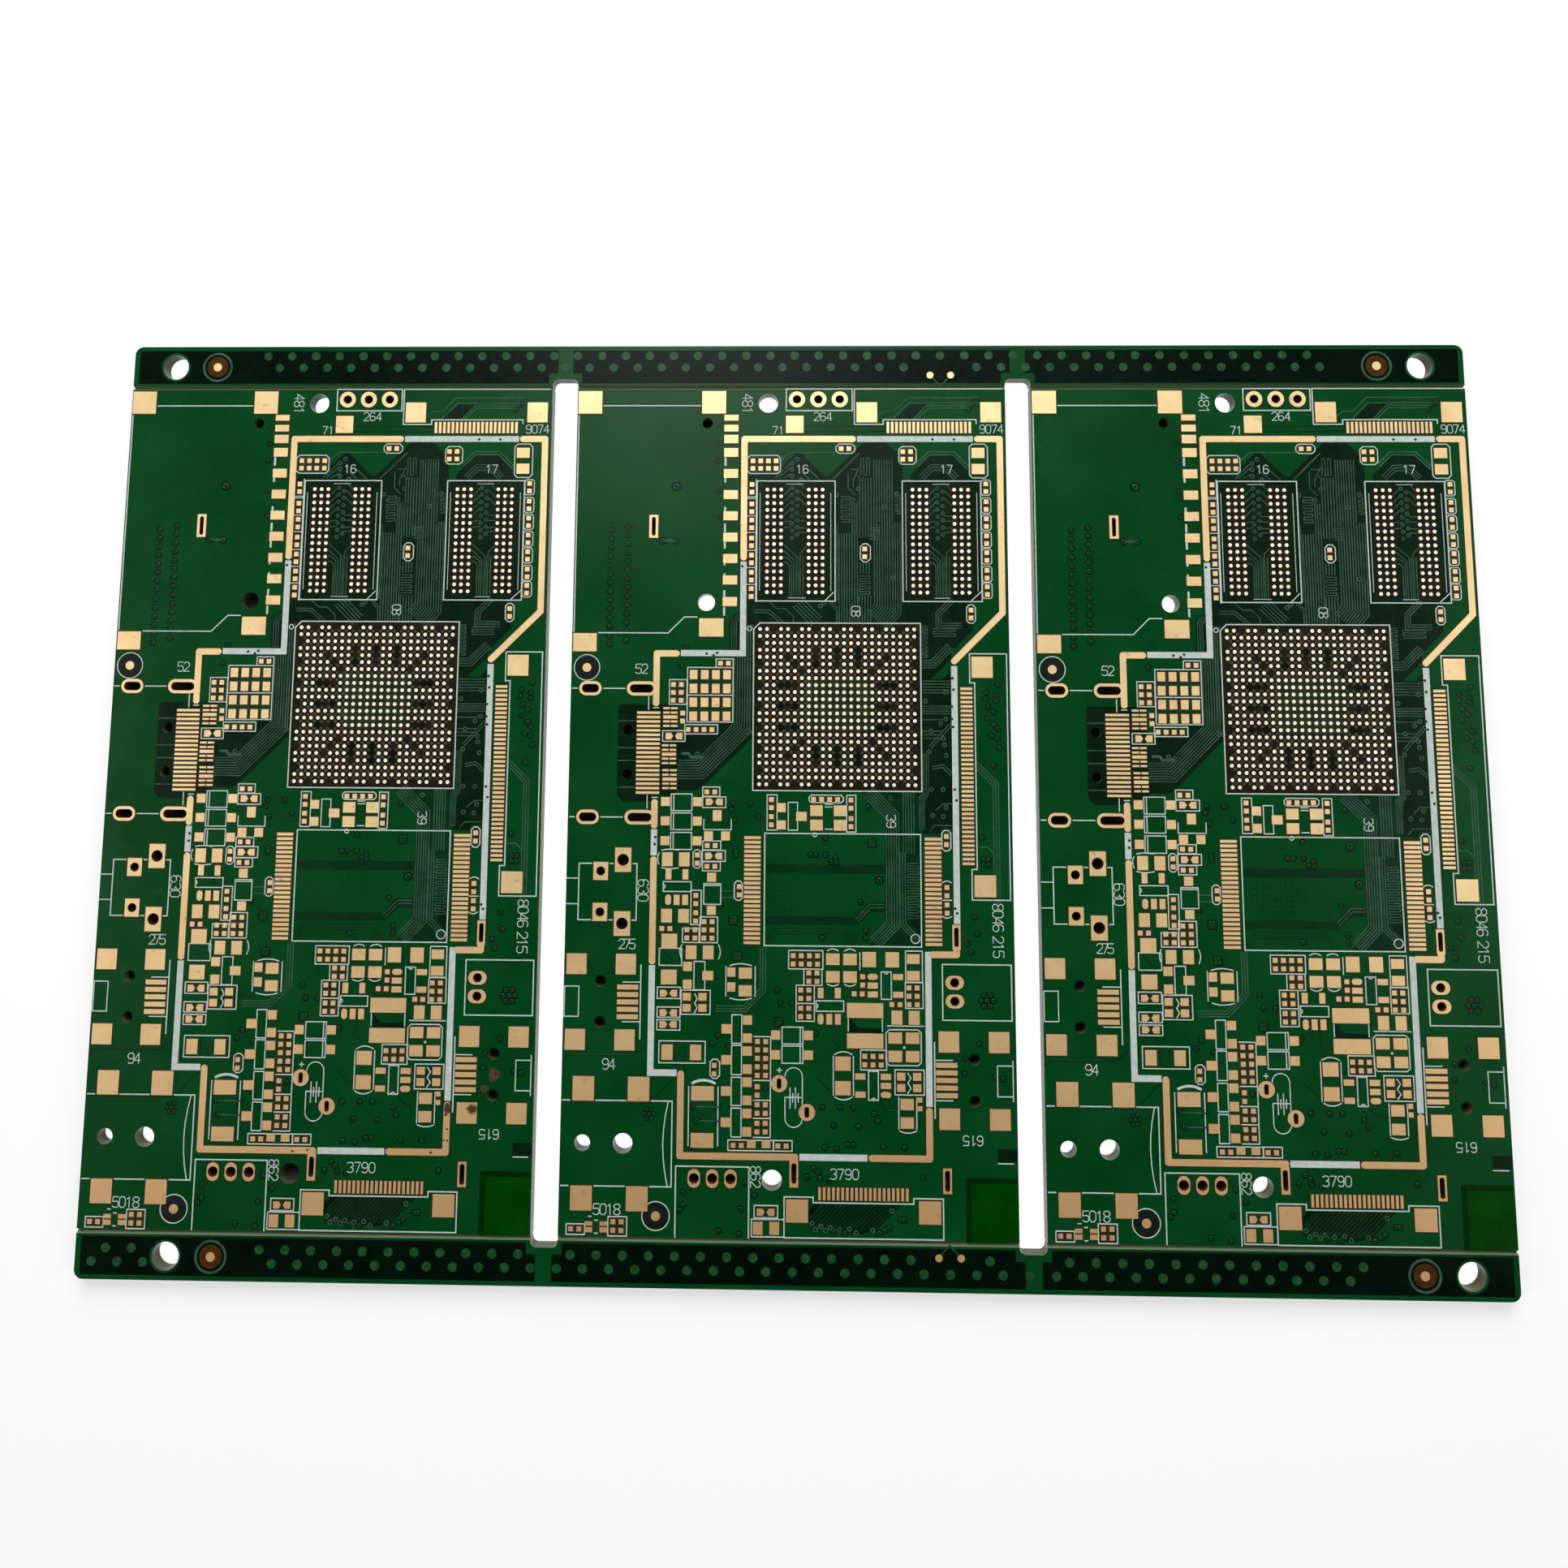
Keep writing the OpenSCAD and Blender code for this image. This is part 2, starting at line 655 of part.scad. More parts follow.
// A skin let in flush with the face, from an outline
module inlay(over = 0)
    translate([0, 0, board_t - inlay_t])
        linear_extrude(inlay_t + over)
            children();

// Outline of the areas of a board without a copper plane
module bare_2d() {
    polygon(BARE_AREA);
    translate([right - corner_edge.x - corner_area.x, corner_edge.y])
        square(corner_area);
}

// Outline of the dark areas of both rails
module rail_mask_2d()
    for (side = [-1, 1])
        difference() {
            translate([0, side * rail_mid])
                square([panel_w - 2 * dark_edge.x, rail_h - 2 * dark_edge.y], center = true);
            for (s = [-1, 1])
                translate([s * board_step / 2, side * rail_mid]) {
                    square([dark_gap[0], rail_h], center = true);
                    translate([0, side * (dark_edge.y + dark_notch / 2 - rail_h / 2)])
                        square([dark_gap[1], dark_notch + cut / 100], center = true);
                }
            for (t = TOOLING)
                translate([t.x, t.y])
                    circle(d = tooling_d + 2 * dark_ring);
        }

module laminate_panel()
    color(MASK_GREEN)
        difference() {
            linear_extrude(board_t)
                sheet_2d();
            for (side = [-1, 1]) {
                translate([side * board_step / 2, 0, -cut])
                    linear_extrude(board_t + 2 * cut)
                        rotate(90)
                            slot_2d(board_h + 2 * slot_run, slot_w);
                translate([0, side * board_h / 2, 0])
                    score();
            }
            for (t = TOOLING)
                translate([t.x, t.y, 0])
                    drill(tooling_d);
            for (b = BOARDS)
                on_board(b)
                    board_holes();
            for (b = BOARDS)
                on_board(b)
                    inlay(cut)
                        scale(unit)
                            bare_2d();
            inlay(cut)
                rail_mask_2d();
        }

module bare_mask()
    color(MASK_DARK)
        for (b = BOARDS)
            on_board(b)
                difference() {
                    inlay()
                        scale(unit)
                            bare_2d();
                    board_holes();
                }

module rail_mask()
    color(MASK_DARK)
        inlay()
            rail_mask_2d();

module rail_lands()
    color(GOLD) {
        for (t = TOOLING)
            translate([t.x + t[2] * fiducial_gap, t.y, 0])
                dot(fiducial_d);
        for (x = test_x, side = [-1, 1])
            translate([x, side * test_y, 0])
                dot(test_d);
    }

// True where a rail dot stays clear of the slots' ends and of the test lands
function dot_fits(p) =
    (abs(abs(p.x) - board_step / 2) > slot_w / 2 + dot_d
        || abs(p.y) > board_h / 2 + slot_run + 1.2 * dot_d)
    && min([for (x = test_x) norm([p.x - x, abs(p.y) - test_y])]) > dot_room;

module rail_dots()
    color(MASK_GREEN)
        for (r = DOT_ROWS, i = [0 : r[3] - 1]) {
            p = [r[2] - panel_w / 2 + i * dot_pitch, r[0] * rail_mid + r[1], board_t];
            if (dot_fits(p))
                translate(p)
                    cylinder(d = dot_d, h = dot_t);
        }

function within(v, span) = v >= span[0] && v <= span[1];
// Steps from the nearer edge of the processor's grid
function fold(i) = min(i, processor_n - 1 - i);
// True in the three channels that the grid leaves open on each side
function in_channel(i, j) =
    within(fold(i), channel_rings)
    && abs(j - processor_mid) <= channel_step
    && (j - processor_mid) % channel_step == 0;
// True where the processor has a ball
function has_ball(i, j) =
    !(fold(i) == 0 && j % 3 == 2)
    && !(fold(j) == 0 && i % 3 == 2)
    && !in_channel(i, j)
    && !in_channel(j, i)
    && !(fold(i) == fold(j) && within(fold(i), corner_rings));

module processor_lands()
    color(GOLD)
        at(processor_at)
            for (i = [0 : processor_n - 1], j = [0 : processor_n - 1])
                if (has_ball(i, j))
                    at([i - processor_mid, processor_mid - j] * ball_pitch)
                        dot(unit * ball_d);

module memory_lands()
    color(GOLD)
        for (m = MEMORIES, col = memory_cols, row = [0 : memory_rows - 1])
            at(m)
                at([col, row - (memory_rows - 1) / 2] * ball_pitch)
                    dot(unit * ball_d);

module flash_lands()
    color(GOLD)
        at(flash_at, 90)
            for (side = [-1, 1])
                at([0, side * flash_span / 2])
                    land_row(flash_n, flash_pitch, flash_finger_w, flash_finger_l);

module card_socket_lands()
    color(GOLD) {
        for (c = CARD_CORNERS)
            at(c)
                land(c[2], c[3]);
        for (i = [0 : card_contact_n - 1])
            at([card_contact_x, card_contact_top - i * card_contact_pitch])
                land(card_contact_l, card_contact_w);
        for (s = CARD_SWITCHES)
            at([card_contact_x, s[0]])
                land(card_contact_l, s[1]);
    }

module video_socket_lands()
    color(GOLD)
        at(video_at, 90)
            land_row(video_n, video_pitch, video_finger_w, video_finger_l);

module protection_lands()
    color(GOLD)
        for (p = PROTECTION)
            at(p) {
                land(protection_bar.x, protection_bar.y);
                for (x = [-1, 1], y = [-2, -1, 1, 2])
                    at([x * protection_x, y * video_pitch])
                        land(protection_land.x, protection_land.y);
            }

module ribbon_lands()
    color(GOLD)
        for (r = RIBBONS)
            at(r, r[2]) {
                land_row(r[3], ribbon_pitch, ribbon_finger_w, ribbon_finger_l);
                for (side = [-1, 1])
                    at([side * ((r[3] - 1) * ribbon_pitch / 2 + anchor_from_finger), anchor_row])
                        land(anchor_side, anchor_side);
            }

module side_connector_lands()
    color(GOLD)
        for (s = SIDES)
            at(s, s[2]) {
                rotate(90)
                    land_row(side_n, side_pitch, side_finger_w, side_finger_l);
                for (x = [side_inner_x, side_outer_x], side = [-1, 1])
                    at([x, side * side_anchor_y])
                        land(side_anchor, side_anchor);
            }

module jack_lands()
    color(GOLD)
        for (x = [-1, 1], y = [-1, 1])
            at([jack_at.x + x * jack_land_at.x, jack_at.y + y * jack_land_at.y])
                land(jack_land.x, jack_land.y);

module chip_lands()
    color(GOLD) {
        for (c = CHIPS, i = [0 : c[2] - 1], j = [0 : c[3] - 1])
            at([c.x + i * chip_pitch, c.y + j * chip_pitch])
                land(chip_side, chip_side);
        for (m = MEMORY_CHIPS, y = m[1], j = [0, 1])
            at([m[0], top - y + j * chip_pitch])
                land(chip_side, chip_side);
    }

// Chips and chip networks are one family of lands
module chip_and_network_lands() {
    chip_lands();
    network_lands();
}

module capacitor_lands()
    color(GOLD) {
        for (c = CAPACITORS)
            at(c, c[2])
                land_row(2, c[5], c[3], c[4]);
        at(probe_land_at)
            land(probe_land, probe_land);
    }

module diode_lands()
    color(GOLD)
        for (d = DIODES)
            at(d, d[2])
                land_row(2, diode_pitch, diode_side, diode_side);

// A regulator's land, with round ends where it is the first
module regulator_foot(first)
    if (first)
        foil()
            rotate(90)
                slot_2d(regulator_land.y, regulator_land.x);
    else
        land(regulator_land.x, regulator_land.y);

module transistor_lands()
    color(GOLD) {
        for (t = TRANSISTORS)
            at(t, t[2]) {
                at([-transistor_row / 2, 0])
                    land(single_leg_l, transistor_side);
                for (side = [-1, 1])
                    at([transistor_row / 2, side * transistor_pitch / 2])
                        land(transistor_side, transistor_side);
            }
        for (r = REGULATORS)
            at(r, r[2]) {
                at([0, -regulator_row / 2])
                    for (i = [0 : 2])
                        at([(i - 1) * regulator_pitch, 0])
                            regulator_foot(i == 0);
                at([0, regulator_row / 2])
                    land_row(2, 2 * regulator_pitch, regulator_land.x, regulator_land.y);
            }
    }

// One half of a solder bridge, its point towards +X
module bridge_half() {
    x = bridge_land.x / 2;
    y = bridge_land.y / 2;
    foil()
        polygon([[-x, -y], [x - bridge_point, -y], [x, 0], [x - bridge_point, y], [-x, y]]);
}

module network_lands()
    color(GOLD) {
        for (f = FILTERS)
            at(f)
                land_grid(2, filter_step, filter_land);
        for (n = NETWORKS)
            at(n)
                land_grid(4, network_step, network_land);
        for (b = BRIDGES, turn = [0, 180])
            at(b, turn)
                at([-bridge_pitch / 2, 0])
                    bridge_half();
    }

module shield_track()
    color(GOLD) {
        foil()
            difference() {
                union() {
                    for (run = TRACK_RUNS, i = [1 : len(run) - 1])
                        run_2d(run[i - 1], run[i], track_w);
                    for (h = SHIELD_SLOTS)
                        translate([h.x, h.y])
                            rotate(h[2])
                                hole_land_2d(h);
                }
                for (h = SHIELD_SLOTS)
                    translate([h.x, h.y])
                        rotate(h[2])
                            slot_2d(h[3], h[4]);
            }
        for (h = SHIELD_SLOTS)
            barrel(h);
    }

module plated_pin_holes()
    color(GOLD)
        for (h = PIN_HOLES)
            plated_hole(h);

module plated_slots()
    color(GOLD)
        for (h = TAB_SLOTS)
            plated_hole(h);

module fiducials()
    color(GOLD)
        for (f = FIDUCIALS)
            at(f)
                dot(unit * fiducial_d);

// A run of ink along its corners
module ink_run(run, w)
    for (i = [1 : len(run) - 1])
        strip_2d(run[i - 1], run[i], w, i < len(run) - 1 ? w / 2 : 0);

module ink_marks()
    color(INK_WHITE)
        translate([0, 0, board_t])
            linear_extrude(ink_t)
                scale(unit) {
                    for (run = INK_RUNS)
                        ink_run(run, ink_w);
                    for (run = LEGEND_RUNS)
                        ink_run(run, legend_w);
                }

laminate_panel();
bare_mask();
rail_mask();
rail_lands();
rail_dots();
for (b = BOARDS) {
    on_board(b) processor_lands();
    on_board(b) memory_lands();
    on_board(b) flash_lands();
    on_board(b) card_socket_lands();
    on_board(b) video_socket_lands();
    on_board(b) protection_lands();
    on_board(b) ribbon_lands();
    on_board(b) side_connector_lands();
    on_board(b) jack_lands();
    on_board(b) chip_and_network_lands();
    on_board(b) capacitor_lands();
    on_board(b) diode_lands();
    on_board(b) transistor_lands();
    on_board(b) shield_track();
    on_board(b) plated_pin_holes();
    on_board(b) plated_slots();
    on_board(b) fiducials();
    on_board(b) ink_marks();
}
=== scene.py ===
import logging
import math
from dataclasses import dataclass, field, replace
from enum import Enum

import bpy
import numpy as np
from mathutils import Matrix, Vector


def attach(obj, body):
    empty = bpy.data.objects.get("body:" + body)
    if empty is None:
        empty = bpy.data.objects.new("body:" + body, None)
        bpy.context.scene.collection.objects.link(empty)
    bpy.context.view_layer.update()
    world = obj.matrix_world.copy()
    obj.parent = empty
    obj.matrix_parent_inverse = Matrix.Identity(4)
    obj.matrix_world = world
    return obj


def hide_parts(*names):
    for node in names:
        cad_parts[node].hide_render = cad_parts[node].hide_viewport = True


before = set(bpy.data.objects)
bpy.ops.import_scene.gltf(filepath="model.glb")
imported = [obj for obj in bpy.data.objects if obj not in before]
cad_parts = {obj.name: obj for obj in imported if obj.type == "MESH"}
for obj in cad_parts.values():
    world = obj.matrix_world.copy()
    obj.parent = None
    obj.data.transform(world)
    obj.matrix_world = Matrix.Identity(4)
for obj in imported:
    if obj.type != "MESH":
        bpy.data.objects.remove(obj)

LOG = logging.getLogger("panel")
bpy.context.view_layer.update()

MM = 0.001

# The panel, in mm
BOARD_W = 50.0
BOARD_H = 95.0
BOARD_PITCH = 53.0
SLOT_W = BOARD_PITCH - BOARD_W
RAIL_H = 5.0
PANEL_HALF_W = BOARD_PITCH + 0.5 * BOARD_W
PANEL_HALF_H = 0.5 * BOARD_H + RAIL_H
FACE = 1.6
LAND_TOP = 1.64

# Thin layers, in mm: their foot in the panel, and the hairs that keep their tops apart
FOOT = FACE - 0.004
COPY_HAIR = 0.0007
COPY_HAIRS = 5
ZONE_HAIR = 0.0002

# Wide holes that the floor shows through, as x, y and width in board mm
WIDE_HOLES = ((22.4, 93.1, 2.3), (23.25, 6.3, 2.2), (15.4, 69.6, 2.0), (2.45, 9.95, 1.75), (6.9, 9.95, 2.15))
# Those of them that show the floor's painted shade in the left board
SHADED_HOLES = WIDE_HOLES[1:3]
# Holes of the rails, as x and y in panel mm, and their width
TOOLING_HOLES = ((-73.0, 50.0), (73.0, 50.0), (73.0, -50.0), (-68.0, -50.0))
TOOLING_W = 3.0

Point = tuple[float, float]
Path = tuple[Point, ...]
Spots = tuple[tuple[float, float, float], ...]
Boxes = tuple[tuple[float, float, float, float], ...]
Colour = tuple[int, int, int]
Tree = bpy.types.NodeTree
Node = bpy.types.Node
Socket = bpy.types.NodeSocket
Piece = bpy.types.Object
Material = bpy.types.Material


class Board(Enum):
    """The three boards of the panel, valued by their place in the row."""

    LEFT = -1
    CENTRE = 0
    RIGHT = 1

    def origin(self) -> Point:
        """Give the place of the board's lower left corner, in panel mm."""
        return (self.value * BOARD_PITCH - 0.5 * BOARD_W, -0.5 * BOARD_H)


class Level(Enum):
    """Top of each thin layer over the underside of the panel, in mm."""

    DIM = 1.6035
    BARE = 1.605
    PATCH = 1.608
    CUT = 1.610
    TRACE = 1.615
    OPENING = 1.620
    VIA = 1.622
    INK = 1.6293
    SPOT = 1.633


class Slope(Enum):
    """Least upright part of the normal of a face that counts as level."""

    SCORED = 0.2
    LAND = 0.7
    PANEL = 0.9


def linear(colour: Colour) -> tuple[float, float, float, float]:
    """Turn a screen colour into the linear one that a shader takes.

    Args:
        colour: Red, green and blue from 0 to 255.

    Returns:
        Linear red, green, blue and a full alpha.
    """
    parts = []
    for value in colour:
        part = value / 255.0
        parts.append(part / 12.92 if part <= 0.04045 else ((part + 0.055) / 1.055) ** 2.4)
    return (parts[0], parts[1], parts[2], 1.0)


def reckon(tree: Tree, operation: str, first: Socket | float, second: Socket | float = 0.0) -> Socket:
    """Add a sum to a node tree.

    Args:
        tree: Node tree of a material.
        operation: Operation of the math node.
        first: First socket or number.
        second: Second socket or number.

    Returns:
        The result's socket.
    """
    node = tree.nodes.new("ShaderNodeMath")
    node.operation = operation
    for socket, value in zip(node.inputs, (first, second)):
        if isinstance(value, Socket):
            tree.links.new(value, socket)
        else:
            socket.default_value = value
    return node.outputs["Value"]


def blend(tree: Tree, share: Socket, first: Socket | Colour, second: Socket | Colour) -> Socket:
    """Add a mix of two colours to a node tree.

    Args:
        tree: Node tree of a material.
        share: Share of the second colour.
        first: First socket or screen colour.
        second: Second socket or screen colour.

    Returns:
        The mixed colour's socket.
    """
    node = tree.nodes.new("ShaderNodeMix")
    node.data_type = "RGBA"
    tree.links.new(share, node.inputs["Factor"])
    for name, value in (("A", first), ("B", second)):
        socket = next(item for item in node.inputs if item.name == name and item.type == "RGBA")
        if isinstance(value, Socket):
            tree.links.new(value, socket)
        else:
            socket.default_value = linear(value)
    return next(item for item in node.outputs if item.type == "RGBA")


def axes(tree: Tree, vector: Socket) -> bpy.types.NodeOutputs:
    """Split a vector into its X, Y and Z sockets.

    Args:
        tree: Node tree of a material.
        vector: Socket of the vector.

    Returns:
        The outputs, by the names of the axes.
    """
    node = tree.nodes.new("ShaderNodeSeparateXYZ")
    tree.links.new(vector, node.inputs["Vector"])
    return node.outputs


def flatness(tree: Tree, limit: Slope) -> Socket:
    """Tell level faces from sloping and upright ones.

    Args:
        tree: Node tree of a material.
        limit: Slope that still counts as level.

    Returns:
        A socket that is 1 on level faces and 0 on the others.
    """
    geometry = tree.nodes.new("ShaderNodeNewGeometry")
    upright = reckon(tree, "ABSOLUTE", axes(tree, geometry.outputs["Normal"])["Z"])
    return reckon(tree, "GREATER_THAN", upright, limit.value)


def span(tree: Tree, value: Socket, old: tuple[float, float], new: tuple[float, float]) -> Socket:
    """Map one range of a value to another, and hold it there.

    Args:
        tree: Node tree of a material.
        value: Socket of the value.
        old: Ends of the value's range.
        new: What the ends turn into.

    Returns:
        The result's socket.
    """
    node = tree.nodes.new("ShaderNodeMapRange")
    for name, number in zip(("From Min", "From Max", "To Min", "To Max"), (*old, *new)):
        node.inputs[name].default_value = number
    tree.links.new(value, node.inputs["Value"])
    return node.outputs["Result"]


def clear_selection() -> None:
    """Leave edit mode and deselect every object."""
    if bpy.context.object is not None and bpy.context.object.mode != "OBJECT":
        bpy.ops.object.mode_set(mode="OBJECT")
    bpy.ops.object.select_all(action="DESELECT")


def lift(height: float) -> None:
    """Extrude what is selected upwards by a height."""
    bpy.ops.mesh.extrude_region_move(TRANSFORM_OT_translate={"value": (0.0, 0.0, height)})


def face_outwards() -> None:
    """Turn every face of the edited mesh outwards and leave edit mode."""
    bpy.ops.mesh.select_all(action="SELECT")
    bpy.ops.mesh.normals_make_consistent(inside=False)
    bpy.ops.object.mode_set(mode="OBJECT")


# Finishes


@dataclass(frozen=True)
class Finish:
    """A surface that varies between two colours, with its own gloss and grain.

    Attributes:
        name: Name of the material.
        colour: Main screen colour.
        second: Colour of the drifts in it.
        drift: Size of the drifts, in mm.
        share: Where the change from one colour to the other is centred, from 0 to 1.
        spread: Half the width of that change.
        gloss: Lowest and highest roughness.
        grain: Size of the fine grain, in mm.
        relief: Strength of the grain's relief.
        metallic: Metallic share.
        specular: Specular level.
        coat: Weight of the clear coat.
    """

    name: str
    colour: Colour
    second: Colour
    drift: float = 6.0
    share: float = 0.5
    spread: float = 0.16
    gloss: tuple[float, float] = (0.25, 0.4)
    grain: float = 0.3
    relief: float = 0.05
    metallic: float = 0.0
    specular: float = 0.4
    coat: float = 0.0

    def make(self) -> Material:
        """Build the material.

        Returns:
            The new material.
        """
        material = bpy.data.materials.new(self.name)
        material.use_nodes = True
        tree = material.node_tree
        shader = tree.nodes["Principled BSDF"]
        coords = tree.nodes.new("ShaderNodeTexCoord")
        colour = self.colours(tree, coords)
        tree.links.new(colour, shader.inputs["Base Color"])
        self.surface(tree, coords, shader)
        return material

    def colours(self, tree: Tree, coords: Node) -> Socket:
        """Drift from the main colour to the second one.

        Args:
            tree: Node tree of the material.
            coords: Its texture coordinate node.

        Returns:
            The colour socket.
        """
        noise = self.noise(tree, coords, self.drift, detail=4.0)
        ramp = tree.nodes.new("ShaderNodeValToRGB")
        ramp.color_ramp.elements[0].position = max(0.0, self.share - self.spread)
        ramp.color_ramp.elements[1].position = min(1.0, self.share + self.spread)
        ramp.color_ramp.elements[0].color = linear(self.colour)
        ramp.color_ramp.elements[1].color = linear(self.second)
        tree.links.new(noise, ramp.inputs["Fac"])
        return ramp.outputs["Color"]

    def surface(self, tree: Tree, coords: Node, shader: Node) -> None:
        """Set gloss, grain and the constants of the shader.

        Args:
            tree: Node tree of the material.
            coords: Its texture coordinate node.
            shader: The shader node.
        """
        fine = self.noise(tree, coords, self.grain, detail=2.0)
        tree.links.new(span(tree, fine, (0.0, 1.0), self.gloss), shader.inputs["Roughness"])
        bump = tree.nodes.new("ShaderNodeBump")
        bump.inputs["Strength"].default_value = self.relief
        bump.inputs["Distance"].default_value = 0.1 * MM
        tree.links.new(fine, bump.inputs["Height"])
        tree.links.new(bump.outputs["Normal"], shader.inputs["Normal"])
        shader.inputs["Metallic"].default_value = self.metallic
        shader.inputs["Specular IOR Level"].default_value = self.specular
        shader.inputs["Coat Weight"].default_value = self.coat

    @staticmethod
    def noise(tree: Tree, coords: Node, size: float, detail: float) -> Socket:
        """Add a noise on object coordinates.

        Args:
            tree: Node tree of the material.
            coords: Its texture coordinate node.
            size: Size of the drifts, in mm.
            detail: Levels of detail.

        Returns:
            The noise's value socket.
        """
        node = tree.nodes.new("ShaderNodeTexNoise")
        node.inputs["Scale"].default_value = 1.0 / (size * MM)
        node.inputs["Detail"].default_value = detail
        tree.links.new(coords.outputs["Object"], node.inputs["Vector"])
        return node.outputs["Fac"]


@dataclass(frozen=True)
class GoldFinish(Finish):
    """Gold plating with small dull spots where it was touched, and with painted shade: darker and browner
    towards the lower rail, and dark on upright faces.

    Attributes:
        spot: Colour of the dull spots.
        spot_size: Size of the spots, in mm.
        spot_edge: Noise where a spot starts and where it is full.
        dull: How far the spots cover the plating.
        wall: Painted shade, the dark colour of upright faces, as inside the plated holes and on the lands'
            edges.
        lower_shade: Painted shade, the darker and browner colour of the plating towards the lower rail.
        lower_shade_from: Where the painted shade starts, in panel mm.
        lower_shade_most: Share of the painted shade at the lower rail.
        burnt: Colour of burnt blots.
        burnt_edge: Where a blot starts and where it is full, against its width.
        burnt_most: How far a blot covers the plating.
        blots: Burnt blots, as x, y and width, in panel mm.
    """

    spot: Colour = (150, 112, 66)
    spot_size: float = 0.9
    spot_edge: tuple[float, float] = (0.62, 0.74)
    dull: float = 0.3
    wall: Colour = (92, 52, 38)
    lower_shade: Colour = (216, 169, 116)
    lower_shade_from: float = 0.0
    lower_shade_most: float = 0.9
    burnt: Colour = (52, 28, 26)
    burnt_edge: tuple[float, float] = (0.8, 0.55)
    burnt_most: float = 0.92
    blots: Spots = ()

    def colours(self, tree: Tree, coords: Node) -> Socket:
        """Lay dull spots over the drift of the plating.

        Args:
            tree: Node tree of the material.
            coords: Its texture coordinate node.

        Returns:
            The colour socket.
        """
        # Painted shade: the plating turns darker and browner towards the lower rail.
        base = blend(tree, self.lower_shade_share(tree, coords), super().colours(tree, coords), self.lower_shade)
        noise = self.noise(tree, coords, self.spot_size, detail=3.0)
        face = blend(tree, span(tree, noise, self.spot_edge, (0.0, self.dull)), base, self.spot)
        for x, y, across in self.blots:
            face = blend(tree, self.blot(tree, coords, (x, y), across), face, self.burnt)
        # Painted shade: upright faces, inside the plated holes and on the lands' edges, take the dark wall
        # colour.
        return blend(tree, flatness(tree, Slope.LAND), self.wall, face)

    def lower_shade_share(self, tree: Tree, coords: Node) -> Socket:
        """Find how far painted shade makes the plating darker and browner, from nothing at the start to
        almost all at the lower rail.

        Args:
            tree: Node tree of the material.
            coords: Its texture coordinate node.

        Returns:
            The share of the painted shade.
        """
        height = axes(tree, coords.outputs["Object"])["Y"]
        return span(tree, height, (self.lower_shade_from * MM, -0.5 * BOARD_H * MM), (0.0, self.lower_shade_most))

    def blot(self, tree: Tree, coords: Node, place: Point, across: float) -> Socket:
        """Find a ragged burnt blot.

        Args:
            tree: Node tree of the material.
            coords: Its texture coordinate node.
            place: Middle of the blot, in panel mm.
            across: Its width.

        Returns:
            A socket that rises to 1 in the blot.
        """
        away = tree.nodes.new("ShaderNodeVectorMath")
        away.operation = "DISTANCE"
        away.inputs[1].default_value = (place[0] * MM, place[1] * MM, LAND_TOP * MM)
        tree.links.new(coords.outputs["Object"], away.inputs[0])
        rags = self.noise(tree, coords, 0.4 * across, detail=3.0)
        ragged = reckon(tree, "MULTIPLY_ADD", rags, 0.5 * across * MM)
        tree.links.new(away.outputs["Value"], ragged.node.inputs[2])
        start, full = (edge * across * MM for edge in self.burnt_edge)
        return span(tree, ragged, (start, full), (0.0, self.burnt_most))


# Scale of a wave texture whose bands lie one unit apart
BAND_SCALE = 0.314


